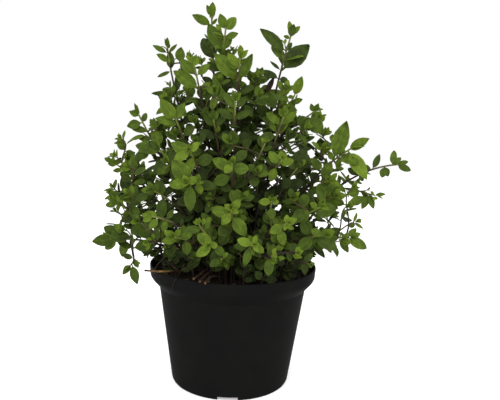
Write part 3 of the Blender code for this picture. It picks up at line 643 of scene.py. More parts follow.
# the back, as rings seen from above: how many stems, their bearings, reach, height and leaves
backRings = [
    Ring(6, (22, 158), (80, 96), (108, 138), (5, 30), (13, 17), 3),
    Ring(5, (12, 168), (60, 76), (150, 178), (30, 50), (12, 16), 3),
    Ring(3, (40, 140), (30, 42), (196, 214), (60, 75), (13, 16), 3),
]

# old stalks that were cut off, and a dry twig that lies across the rim
cutStubs = [
    Shoot((-23, -61, 89.4), -8, -118, 0, 0, 0),
    Shoot((-19, -63, 88.4), -10, -106, 0, 0, 0),
    Shoot((-15.5, -64, 87.6), -12, -96, 0, 0, 0),
]
dryTwig = [
    (-56.8, -44.1, 89.2),
    (-51.5, -41.2, 88.2),
    (-46, -38.2, 87.5),
    (-38, -33, 86.3),
    (-30, -27, 85.0),
    (-22, -21, 84.0),
]


def bearingVector(heading, rise=0.0):
    turn, lift = math.radians(heading), math.radians(rise)
    return Vector((math.cos(turn) * math.cos(lift), math.sin(turn) * math.cos(lift), math.sin(lift)))


def backStems():
    draw = random.Random(7)
    stems = []
    for ring in backRings:
        low, high = ring.bearings
        for index in range(ring.count):
            bearing = low + (high - low) * (index + draw.uniform(0.3, 0.7)) / ring.count
            reach = draw.uniform(*ring.reach)
            tip = bearingVector(bearing) * reach + up * draw.uniform(*ring.height)
            rise = draw.uniform(*ring.rise)
            leaf = draw.uniform(*ring.leaf)
            heading = bearing + draw.uniform(-15, 15)
            twist = draw.uniform(0, 90)
            stems.append([Shoot(tuple(tip), rise, heading, leaf, twist, ring.pairs)])
    return stems


def footOf(shoot):
    flat = Vector((shoot.tip[0], shoot.tip[1], 0)) * stalk["rootShare"]
    if flat.length > stalk["rootRing"]:
        flat *= stalk["rootRing"] / flat.length
    flat.z = soilHeight(flat.x, flat.y)
    return flat


def bezier(a, b, c, d, share):
    rest = 1 - share
    return a * rest**3 + b * 3 * rest**2 * share + c * 3 * rest * share**2 + d * share**3


def stalkAxis(start, way, shoot, count):
    tip = Vector(shoot.tip)
    span = (tip - start).length
    endWay = bearingVector(shoot.heading, shoot.rise)
    leave, arrive = start + way * span * stalk["leave"], tip - endWay * span * stalk["arrive"]
    controls = (start, leave, arrive, tip)
    return Axis([bezier(*controls, i / (count - 1)) for i in range(count)], controls)


def steps(first, last, step):
    while first < last:
        yield first
        first += step


class Axis:
    # a stalk's line, read by the distance from its start
    def __init__(self, points, controls=None):
        self.points = points
        self.controls = controls
        self.lengths = [0.0]
        for a, b in zip(points, points[1:]):
            self.lengths.append(self.lengths[-1] + (b - a).length)

    @property
    def length(self):
        return self.lengths[-1]

    def sampled(self, reach, count):
        return [self.smooth(reach * i / (count - 1))[0] for i in range(count)]

    def at(self, distance):
        distance = min(max(distance, 0.0), self.length)
        for a, b, before, after in zip(self.points, self.points[1:], self.lengths, self.lengths[1:]):
            if distance <= after:
                share = (distance - before) / max(after - before, 1e-9)
                return a.lerp(b, share), (b - a).normalized()
        return self.points[-1], (self.points[-1] - self.points[-2]).normalized()

    def smooth(self, distance):
        # the same place on the smooth curve that the straight runs follow
        distance = min(max(distance, 0.0), self.length)
        for index, (before, after) in enumerate(zip(self.lengths, self.lengths[1:])):
            if distance <= after or index == len(self.lengths) - 2:
                share = (index + (distance - before) / max(after - before, 1e-9)) / (len(self.points) - 1)
                break
        a, b, c, d = self.controls
        rest = 1 - share
        way = (b - a) * rest**2 + (c - b) * 2 * rest * share + (d - c) * share**2
        return bezier(a, b, c, d, share), way.normalized()


def stemAxes(stem, foot):
    main = stem[0]
    lean = (Vector(main.tip) - foot).normalized() * (0.0 if main.pairs else stalk["stubLean"])
    axes = [stalkAxis(foot, (up + lean).normalized(), main, stalk["points"])]
    for branch in stem[1:]:
        start, way = axes[0].at(axes[0].length * branch.fork)
        out = bearingVector(branch.heading, 35)
        axes.append(stalkAxis(start, (way + out).normalized(), branch, stalk["branchPoints"]))
    return axes


def outward(way, bearing):
    # the direction square to a stalk at this bearing
    side = way.cross(up)
    side = side.normalized() if side.length > 0.2 else way.cross(Vector((0, 1, 0))).normalized()
    return side * math.cos(bearing) + side.cross(way).normalized() * math.sin(bearing)


def leafMatrix(base, way, bearing, opening, roll):
    # a leaf's own frame: Y runs along it, Z is its upper face and X goes across it
    out = outward(way, bearing)
    along = (way * math.cos(opening) + out * math.sin(opening)).normalized()
    away = Vector((base.x, base.y, 0)) / pot["rimRadius"]
    face = way * math.sin(opening) - out * math.cos(opening) + up * pairs["faceUp"] + away * pairs["faceOut"]
    face = (face - along * face.dot(along)).normalized()
    face = Matrix.Rotation(roll, 3, along) @ face
    across = along.cross(face).normalized()
    turned = Matrix((across, along, face)).transposed().to_4x4()
    turned.translation = base
    return turned


def guardBlade(length, width, thickness):
    # the plain blade that keeps a leaf's place clear
    large = length > blade["large"]
    start, narrow = blade["joint"]
    rows = [(0.2, narrow), (start, narrow)]
    wide = width if large else width * blade["fourCornered"]
    for along, spread in blade["largeRows"] if large else blade["rows"]:
        rows.append((start + (length - start) * along, spread * wide))
    bm = bmesh.new()
    bmesh.ops.create_grid(bm, x_segments=2 if large else 1, y_segments=len(rows) - 1, size=0.5)
    for vert in bm.verts:
        row = round((vert.co.y + 0.5) * (len(rows) - 1))
        along, spread = rows[row]
        column = round(2 * vert.co.x)
        if row < 2 and column == 0:
            column = -1
        across = column * spread / 2
        arch = -blade["droop"] * (along / length) ** 2 * length
        fold = blade["fold"] * abs(across) if large and row > 1 else 0.0
        vert.co = Vector((across, along, arch + fold))
    bmesh.ops.remove_doubles(bm, verts=bm.verts, dist=1e-5)
    bmesh.ops.triangulate(bm, faces=bm.faces)
    lifted = bmesh.ops.extrude_face_region(bm, geom=bm.faces[:])
    verts = [part for part in lifted["geom"] if isinstance(part, bmesh.types.BMVert)]
    bmesh.ops.translate(bm, vec=up * thickness, verts=verts)
    bmesh.ops.translate(bm, vec=-up * thickness / 2, verts=bm.verts)
    bmesh.ops.triangulate(bm, faces=bm.faces)
    bmesh.ops.recalc_face_normals(bm, faces=bm.faces)
    return bm


def treeOf(bm, matrix=None):
    # the mesh's tree and points, and the mesh is freed
    points = [matrix @ vert.co if matrix else vert.co.copy() for vert in bm.verts]
    faces = [[vert.index for vert in face.verts] for face in bm.faces]
    bm.free()
    return BVHTree.FromPolygons(points, faces), points


def tubeGuard(axis, radius, skip=0.0):
    # the plain tube that keeps a stalk's place clear: its tree and its points
    points, faces, count = [], [], 14
    for index in range(count):
        point, way = axis.at(skip + (axis.length - skip) * index / (count - 1))
        side = way.cross(Vector((0.3, 1, 0.1))).normalized()
        over = side.cross(way)
        points += [point + corner * radius for corner in (side, over, -side, -over)]
    for low in range(0, 4 * count - 4, 4):
        faces += [(low + i, low + (i + 1) % 4, low + 4 + (i + 1) % 4, low + 4 + i) for i in range(4)]
    return BVHTree.FromPolygons(points, faces), points


class Room:
    # what already stands in the plant's space, each with its owner
    def __init__(self):
        self.owners, self.trees = [], []
        self.lows, self.highs = np.zeros((4096, 3)), np.zeros((4096, 3))

    def remove(self, owner):
        for index, other in enumerate(self.owners):
            if other == owner:
                self.owners[index] = None
                self.lows[index], self.highs[index] = 1e6, -1e6

    def add(self, owner, tree, points):
        count = len(self.owners)
        if count == len(self.lows):
            self.lows = np.vstack((self.lows, self.lows))
            self.highs = np.vstack((self.highs, self.highs))
        array = np.array(points)
        self.lows[count], self.highs[count] = array.min(0), array.max(0)
        self.owners.append(owner)
        self.trees.append(tree)

    def isFree(self, owner, tree, points):
        count = len(self.owners)
        array = np.array(points)
        low, high = array.min(0), array.max(0)
        near = np.all((self.lows[:count] <= high) & (self.highs[:count] >= low), axis=1)
        for index in np.nonzero(near)[0]:
            if self.owners[index] != owner and tree.overlap(self.trees[index]):
                return False
        return True


aside = (
    (0, 0, 1.0), (14, 0, 1.0), (-14, 0, 1.0), (0, -14, 1.0), (0, 12, 1.0), (26, -8, 0.9),
    (-26, -8, 0.9), (0, -24, 0.85), (38, 6, 0.8), (-38, 6, 0.8), (20, -26, 0.7), (-20, -26, 0.7),
)


def placeLeaf(room, owner, axis, distance, bearing, opening, roll, length, widthShare):
    base, way = axis.at(distance)
    ahead, beside, over = blade["guard"]
    for turn, spread, size in aside:
        turned = leafMatrix(base, way, bearing + math.radians(turn), math.radians(opening + spread), roll)
        long, wide = length * size, length * size * widthShare
        if long < blade["smallest"]:
            continue
        guard = guardBlade(long + ahead, wide + beside, blade["thick"] + over)
        tree, points = treeOf(guard, turned)
        if room.isFree(owner, tree, points):
            room.add(owner, tree, points)
            return Leaf(turned, long, wide)
    return None


def mainLeaves(room, owner, shoot, axis, draw):
    leaves = []
    wider = pairs["levelOpening"] * (1 - max(shoot.rise, 0) / 90)
    for pair in range(shoot.pairs):
        below = pairs["place"][pair] * shoot.leaf / pairs["placeLeaf"]
        if below > axis.length * 0.9:
            break
        for half in (0, 180):
            turn = draw.uniform(-pairs["turn"], pairs["turn"])
            bearing = math.radians(shoot.twist + 90 * pair + half + turn)
            opening = pairs["opening"][pair] + wider + draw.uniform(-pairs["open"], pairs["open"])
            length = shoot.leaf * pairs["size"][pair] * draw.uniform(*pairs["length"])
            share = blade["width"] * draw.uniform(*pairs["share"])
            distance = axis.length - below + draw.uniform(-0.4, 0.4)
            roll = math.radians(draw.uniform(-pairs["roll"], pairs["roll"]))
            leaf = placeLeaf(room, owner, axis, distance, bearing, opening, roll, length, share)
            if leaf:
                leaves.append((leaf, below, pair))
    return leaves


def guardPotAndSoil(room):
    bm = bmesh.new()
    collar = pot["rimRadius"] + 0.8
    wallTop, wallHeight = pot["collarSlope"][-1]
    bmesh.ops.create_cone(
        bm, cap_ends=False, segments=32, radius1=wallTop, radius2=collar, depth=pot["rimTop"] - wallHeight
    )
    bmesh.ops.translate(bm, vec=up * (pot["rimTop"] + wallHeight) / 2, verts=bm.verts)
    room.add("pot", *treeOf(bm))
    bm = bmesh.new()
    bmesh.ops.create_circle(bm, cap_ends=True, cap_tris=True, segments=32, radius=collar)
    bmesh.ops.translate(bm, vec=up * (soil["edgeTop"] + soil["mound"] + 1.6), verts=bm.verts)
    room.add("soil", *treeOf(bm))


def placeStem(room, number, stem):
    wanted = footOf(stem[0])
    for step in range(stalk["footTries"]):
        shift = bearingVector(step * stalk["goldenAngle"]) * stalk["footStep"] * math.sqrt(step)
        foot = wanted + shift
        foot.z = soilHeight(foot.x, foot.y)
        if math.hypot(foot.x, foot.y) > stalk["rootRing"] + 4:
            continue
        axes = stemAxes(stem, foot)
        # a branch starts inside its stalk, so its own first part isn't guarded
        guards = [
            tubeGuard(axis, stalk["radius"] + 0.5, 3.0 if order else 0.0)
            for order, axis in enumerate(axes)
        ]
        if all(room.isFree(number, *guard) for guard in guards):
            break
    for order, guard in enumerate(guards):
        room.add((number, order), *guard)
    return axes


bush = {
    # height, middle (x) and radius of the bush
    "bulk": [(96, -4, 62), (110, -8, 78), (122, -8, 84), (138, -8, 82), (156, -4, 76),
             (174, -3, 64), (192, -8, 54), (211, -6, 44), (229, -8, 28), (238, -8, 18)],
    "front": 0.78,  # its depth towards the front, as a share of its radius
    "seed": 47,
    "ends": 1600,  # places that are tried
    "count": 9,
    "reach": (16.0, 58.0),
    "leaf": (12.5, 15.0),
    "places": (1.0, 9.0, 21.0),
    "opening": (38, 56, 66),
    "size": (0.72, 1.0, 0.95),
    "rise": (12, 58),  # how steep they end at the bush's foot, and how much more at its top
    "points": 4,
    "stepUp": 7.0,  # between the places on a stalk where a branch may start
}


def bulkAt(height):
    # the middle and the radius of the bush at a height
    bulk = bush["bulk"]
    for (low, lowX, lowR), (high, highX, highR) in zip(bulk, bulk[1:]):
        if height <= high:
            share = (height - low) / (high - low)
            return lowX + (highX - lowX) * share, lowR + (highR - lowR) * share
    return bulk[-1][1:]


def bulkPoints(draw, count, under, core):
    # places in the bush, from a little under its foot and from its core outwards
    low, high = bush["bulk"][0][0], bush["bulk"][-1][0]
    points = []
    for _ in range(count):
        height = draw.uniform(low - under, high)
        middle, radius = bulkAt(max(height, low))
        out = bearingVector(draw.uniform(0, 360)) * radius * math.sqrt(draw.uniform(core, 1.0))
        if out.y < 0:
            out.y *= bush["front"]
        points.append(out + Vector((middle, 0, height)))
    return points


def leafCentre(leaf):
    return leaf.matrix @ Vector((0, leaf.length * 0.5, 0))


def thinShoot(start, way, end, kind, draw, **settings):
    # a thin branch from a stalk to an end in the bush, where it points out, the higher the steeper
    low, high = bush["bulk"][0][0], bush["bulk"][-1][0]
    bearing = math.degrees(math.atan2(end.y, end.x - bulkAt(end.z)[0])) + draw.uniform(-25, 25)
    least, more = kind["rise"]
    rise = least + more * ((end.z - low) / (high - low)) + draw.uniform(-12, 12)
    leafSize, twist = draw.uniform(*kind["leaf"]), draw.uniform(0, 90)
    shoot = Shoot(tuple(end), rise, bearing, leafSize, twist, **settings)
    leave = (way * 0.5 + (end - start).normalized()).normalized()
    return shoot, stalkAxis(start, leave, shoot, kind["points"])


def fillBranch(room, owner, start, way, end, draw):
    # a thin branch with its leaves, or None
    shoot, axis = thinShoot(start, way, end, bush, draw, pairs=3, fork=-1)
    tree, points = tubeGuard(axis, stalk["branchRadius"] + 0.4, 4.5)
    if not room.isFree(owner[1], tree, points):
        return None
    leaves = []
    for pair, below in enumerate(bush["places"]):
        if below > axis.length - 6:
            break
        for half in (0, 180):
            bearing = math.radians(shoot.twist + 90 * pair + half + draw.uniform(-12, 12))
            opening = bush["opening"][pair] + draw.uniform(-8, 8)
            length = shoot.leaf * bush["size"][pair] * draw.uniform(0.9, 1.05)
            roll = math.radians(draw.uniform(-pairs["roll"], pairs["roll"]))
            leaf = placeLeaf(
                room, owner, axis, axis.length - below, bearing, opening, roll, length, blade["width"]
            )
            if leaf:
                leaves.append((leaf, below, pair))
    if len(leaves) < 3:
        room.remove(owner)
        return None
    room.add(owner, tree, points)
    return shoot, axis, leaves


def fillBush(room, plan, draw):
    # adds thin branches to the stems, each where the bush has the widest gap left
    step = bush["stepUp"]
    starts = [
        (number, order, *axis.at(distance))
        for number, (_, lines, _) in enumerate(plan[: -len(cutStubs)])
        for order, axis in enumerate(lines)
        for distance in steps(2 * step, axis.length - step, step)
    ]
    ends = bulkPoints(draw, bush["ends"], 0, 0.08)
    centres = [leafCentre(leaf) for _, _, shoots in plan for leaves in shoots for leaf, _, _ in leaves]
    gaps = [min((end - centre).length for centre in centres) for end in ends]
    added = 0
    while added < bush["count"] and max(gaps) > 0:
        widest = gaps.index(max(gaps))
        end = ends[widest]
        gaps[widest] = 0.0
        near = sorted(starts, key=lambda start: (start[2] - end).length)
        near = [start for start in near if start[2].z < end.z - 5]
        for number, order, point, way in near[:6]:
            if not bush["reach"][0] < (end - point).length < bush["reach"][1]:
                continue
            made = fillBranch(room, (("fill", widest), (number, order)), point, way, end, draw)
            if made:
                for part, whole in zip(made, plan[number]):
                    whole.append(part)
                added += 1
                for leaf, _, _ in made[2]:
                    centre = leafCentre(leaf)
                    gaps = [min(gap, (e - centre).length) for gap, e in zip(gaps, ends)]
                break


def planPlant():
    # (shoots, axes, main leaves of each shoot) of each stem, and the room that they leave
    stems = frontStems + backStems() + [[stub] for stub in cutStubs]
    room = Room()
    room.add("twig", *tubeGuard(Axis([Vector(p) for p in dryTwig]), 1.8))
    axes = [placeStem(room, number, stem) for number, stem in enumerate(stems)]
    guardPotAndSoil(room)
    draw = random.Random(pairs["seed"])
    plan = []
    for number, (stem, lines) in enumerate(zip(stems, axes)):
        leaves = [
            mainLeaves(room, (number, order), shoot, axis, draw)
            for order, (shoot, axis) in enumerate(zip(stem, lines))
        ]
        plan.append((list(stem), lines, leaves))
    fillBush(room, plan, random.Random(bush["seed"]))
    return plan, room


# one leaf of each form, shaped from a flat grid

leafForms = {
    # outline: share of the length and of the width at each row, from the stalk to the point
    "size": (14.0, 8.7, 0.4),  # length, width and thickness in mm
    "outlines": {
        "ovate": [
            (0.0, 0.08), (0.12, 0.1), (0.2, 0.45), (0.32, 0.82), (0.48, 1.0), (0.66, 0.93), (0.82, 0.66),
            (0.94, 0.3), (1.0, 0.04),
        ],
        "round": [
            (0.0, 0.08), (0.1, 0.1), (0.18, 0.5), (0.3, 0.88), (0.46, 1.03), (0.66, 1.0), (0.83, 0.76),
            (0.95, 0.38), (1.0, 0.08),
        ],
        "narrow": [
            (0.0, 0.08), (0.13, 0.1), (0.22, 0.4), (0.36, 0.76), (0.52, 0.92), (0.7, 0.82), (0.85, 0.52),
            (0.95, 0.24), (1.0, 0.03),
        ],
        "small": [(0.0, 0.12), (0.2, 0.5), (0.48, 1.0), (0.78, 0.78), (1.0, 0.06)],
    },
    # arch: how far the point bends down. dish: how far the halves rise from the rib
    "bends": {"ovate": (0.12, 0.09), "round": (0.2, 0.05), "narrow": (0.05, 0.12), "small": (0.1, 0.12)},
}


def makeLeafForm(name):
    outline = leafForms["outlines"][name]
    arch, dish = leafForms["bends"][name]
    length, width, thick = [value * mm for value in leafForms["size"]]
    columns = 2 if name == "small" else 4
    rows = len(outline) - 1
    deselect()
    bpy.ops.mesh.primitive_grid_add(x_subdivisions=columns, y_subdivisions=rows, size=1)
    leaf = bpy.context.object
    leaf.data.uv_layers[0].name = "leafUV"
    bpy.ops.object.mode_set(mode="EDIT")
    # the rows are shaped from the point down, so that each is found by its first place
    for row in reversed(range(rows + 1)):
        at = row / rows - 0.5
        selectVerts(leaf, lambda co: abs(co.y - at) < 0.01)
        along, spread = outline[row]
        bpy.ops.transform.resize(value=(spread * width, 1, 1), center_override=(0, at, 0))
        bpy.ops.transform.translate(value=(0, along * length - at + 10.0, -arch * along**2 * length))
    bpy.ops.mesh.select_all(action="SELECT")
    bpy.ops.transform.translate(value=(0, -10.0, 0))
    # each half rises from the rib, less steeply towards its edge
    for column in range(columns + 1):
        out = abs(2 * column / columns - 1)
        rise = dish * (out * 1.5 - out**2 * 0.7) * width
        selectVerts(leaf, lambda co: False)
        bpy.ops.object.mode_set(mode="OBJECT")
        for vert in leaf.data.vertices:
            vert.select = vert.index % (columns + 1) == column and vert.co.y > 0.16 * length
        bpy.ops.object.mode_set(mode="EDIT")
        bpy.ops.transform.translate(value=(0, 0, rise))
    bpy.ops.object.mode_set(mode="OBJECT")
    setMaterials(leaf, leafUpper, leafUnder, stalkSkin)
    shell = leaf.modifiers.new("shell", "SOLIDIFY")
    shell.thickness, shell.offset, shell.material_offset, shell.material_offset_rim = thick, -1, 1, 0
    applyAll(leaf)
    bpy.ops.object.shade_smooth_by_angle(angle=math.radians(50))
    leaf.data.attributes.new("tone", "FLOAT", "POINT")
    leaf.name = leaf.data.name = "leafForm_" + name
    return leaf


def copyLeaf(form, leaf, tone):
    # leaf.matrix is in mm
    length, width, _ = leafForms["size"]
    share = leaf.length / length
    place = leaf.matrix.copy()
    place.translation = place.translation * mm
    sized = place @ Matrix.Diagonal((leaf.width / width, share, share, 1))
    return copyForm(form, sized, min(max(tone, 0.0), 1.0))


def makeTube(name, points, radii, sides=4):
    # a stalk: a poly curve with a round bevel, made a mesh
    curve = bpy.data.curves.new(name, "CURVE")
    curve.dimensions = "3D"
    curve.bevel_depth = mm
    curve.bevel_resolution = (sides - 4) // 2
    curve.use_fill_caps = True
    line = curve.splines.new("POLY")
    line.points.add(len(points) - 1)
    for target, point, radius in zip(line.points, points, radii):
        target.co = (*(point * mm), 1)
        target.radius = radius
    tube = bpy.data.objects.new(name, curve)
    bpy.context.scene.collection.objects.link(tube)
    activate(tube)
    bpy.ops.object.convert(target="MESH")
    tube = bpy.context.object
    bpy.ops.object.mode_set(mode="EDIT")
    bpy.ops.mesh.select_all(action="SELECT")
    bpy.ops.mesh.remove_doubles(threshold=0.000002)
    bpy.ops.mesh.normals_make_consistent(inside=False)
    bpy.ops.object.mode_set(mode="OBJECT")
    bpy.ops.object.shade_smooth_by_angle(angle=math.radians(60))
    return tube


def makeTwigForm():
    # a short straight stalk 10 mm long, drawn thinner towards its tip
    deselect()
    bpy.ops.mesh.primitive_circle_add(vertices=5, radius=0.55 * mm, fill_type="NGON")
    twig = bpy.context.object
    bpy.ops.object.mode_set(mode="EDIT")
    bpy.ops.mesh.select_all(action="SELECT")
    for share in (0.85, 0.7):
        bpy.ops.mesh.extrude_region_move(TRANSFORM_OT_translate={"value": (0, 0, 5 * mm)})
        bpy.ops.transform.resize(value=(share, share, 1))
    bpy.ops.mesh.select_all(action="SELECT")
    bpy.ops.mesh.normals_make_consistent(inside=False)
    bpy.ops.object.mode_set(mode="OBJECT")
    bpy.ops.object.shade_smooth_by_angle(angle=math.radians(75))
    twig.data.attributes.new("tone", "FLOAT", "POINT")
    setMaterials(twig, stalkSkin)
    return twig


def copyTwig(form, start, end):
    along = (end - start).normalized()
    turned = along.to_track_quat("Z", "Y").to_matrix().to_4x4()
    turned.translation = start * mm
    return copyForm(form, turned @ Matrix.Diagonal((1, 1, (end - start).length / 10, 1)), 0.8)


def setTones(obj, tone):
    # tone(place in mm) for each vertex
    made = obj.data.attributes.get("tone") or obj.data.attributes.new("tone", "FLOAT", "POINT")
    made.data.foreach_set("value", [tone(vert.co / mm) for vert in obj.data.vertices])


# young growth that fills the plant: buds, side shoots, lower leaves and thin branches

fill = {
    "seed": 31,
    "spacing": (10.0, 14.0),  # between pairs further down a stalk
    "crown": (105.0, 0.72),  # how far along a stalk they begin to stand closer, and by how much
    "floor": (9.0, 6.0),  # no leaf joins a stalk, or its fork, lower than this
    "between": 11,  # a smaller pair stands between two that are further apart than this
    "steep": 55,
    "spread": ((38, 66), (52, 84)),  # how wide the leaves of a steep shoot open, and of a level one
    "lengths": (8.0, 15.0),  # the shortest and the longest
    "roll": 35,
    "sideLean": (24, 42),
    "sideCrown": (170.0, 1.25),  # above this height side shoots have larger leaves
    "size": (0.68, 1.0),  # lower leaves, as a share of the shoot's longest leaf
    "sideShare": 0.55,  # how many axils bear a side shoot
    "sideLength": (3.5, 13.0),
    "sideLeaf": (5.5, 9.5),
    "width": (0.48, 0.66),  # of a leaf, as a share of its length
    # turn, spread and size of each place that is tried until one is free
    "tries": ((0, 0, 1.0), (16, -8, 1.0), (-16, -8, 1.0), (0, -22, 0.9), (30, -14, 0.8), (-30, -14, 0.8)),
    "bud": ((0.42, 26, 90, 0.6), (0.26, 14, 0, 1.4)),  # size, opening, turn and lift of each pair
    "sidePairs": ((0.0, 0.6, 24), (2.5, 0.9, 44), (8.0, 1.0, 60)),  # place, size and opening
    "turn": 12,
}
branches = {
    "seed": 61,
    "ends": 5000,  # places that are tried
    "count": 230,
    "gap": 7.5,  # no branch grows where the widest gap is less than this
    "reach": (12.0, 54.0),
    "leaf": (11.0, 15.0),
    "places": (1.0, 6.0, 14.0, 24.0, 35.0, 46.0),
    "sizes": (0.62, 0.88, 1.0, 1.0, 0.92, 0.85),
    "rise": (12, 60),
    "points": 6,
    "guard": (0.6, 3.0),  # radius kept clear round one, and how far from its stalk that begins
    "starts": (14.0, 6.0),  # the lowest place where one starts on a stalk, and on its fork
    "stepUp": 6.0,
    # ends on the two flanks, grown before the others
    "flanks": [
        (-81, -2, 173), (-85, -2, 160), (-74, -12, 155), (-86, -8, 134), (-76, -20, 120), (-70, -28, 107),
        (-66, -28, 97), (82, -8, 144), (78, -14, 132), (84, -14, 121), (73, -26, 110), (61, -8, 181),
        (71, -8, 158), (58, -20, 171), (67, -25, 140), (61, -36, 105), (47, -16, 185), (56, -4, 191),
        (-44, -22, 184), (-47, -14, 181), (-40, -30, 178), (-20, -16, 176), (-26, -10, 182),
        (-14, -12, 170), (-24, -18, 170),
    ],
}


# the side that stood to the light is the front
light = {
    "out": 0.35,  # how much a leaf turns away from the pot's axis, to the front and up
    "front": 0.8,
    "up": 0.6,
    "back": 50.0,  # behind this place no leaf turns to the front
    "fade": 40.0,  # and this far before it all of them do
    "share": 0.75,  # of the whole turn
    "most": 1.3,
    "view": 13.0,  # radius kept clear before a rosette
}
# painted shade: how much darker leaves are coloured deep inside the bush and near its foot
shade = {
    "reach": 36.0,  # mm inside the bush where it is darkest
    "most": 0.42,
    "low": (124.0, 30.0, 0.26),  # darker below this height, over this run, by this much
    "high": (170.0, 60.0, 0.6),  # and above this one the inside is less dark
}


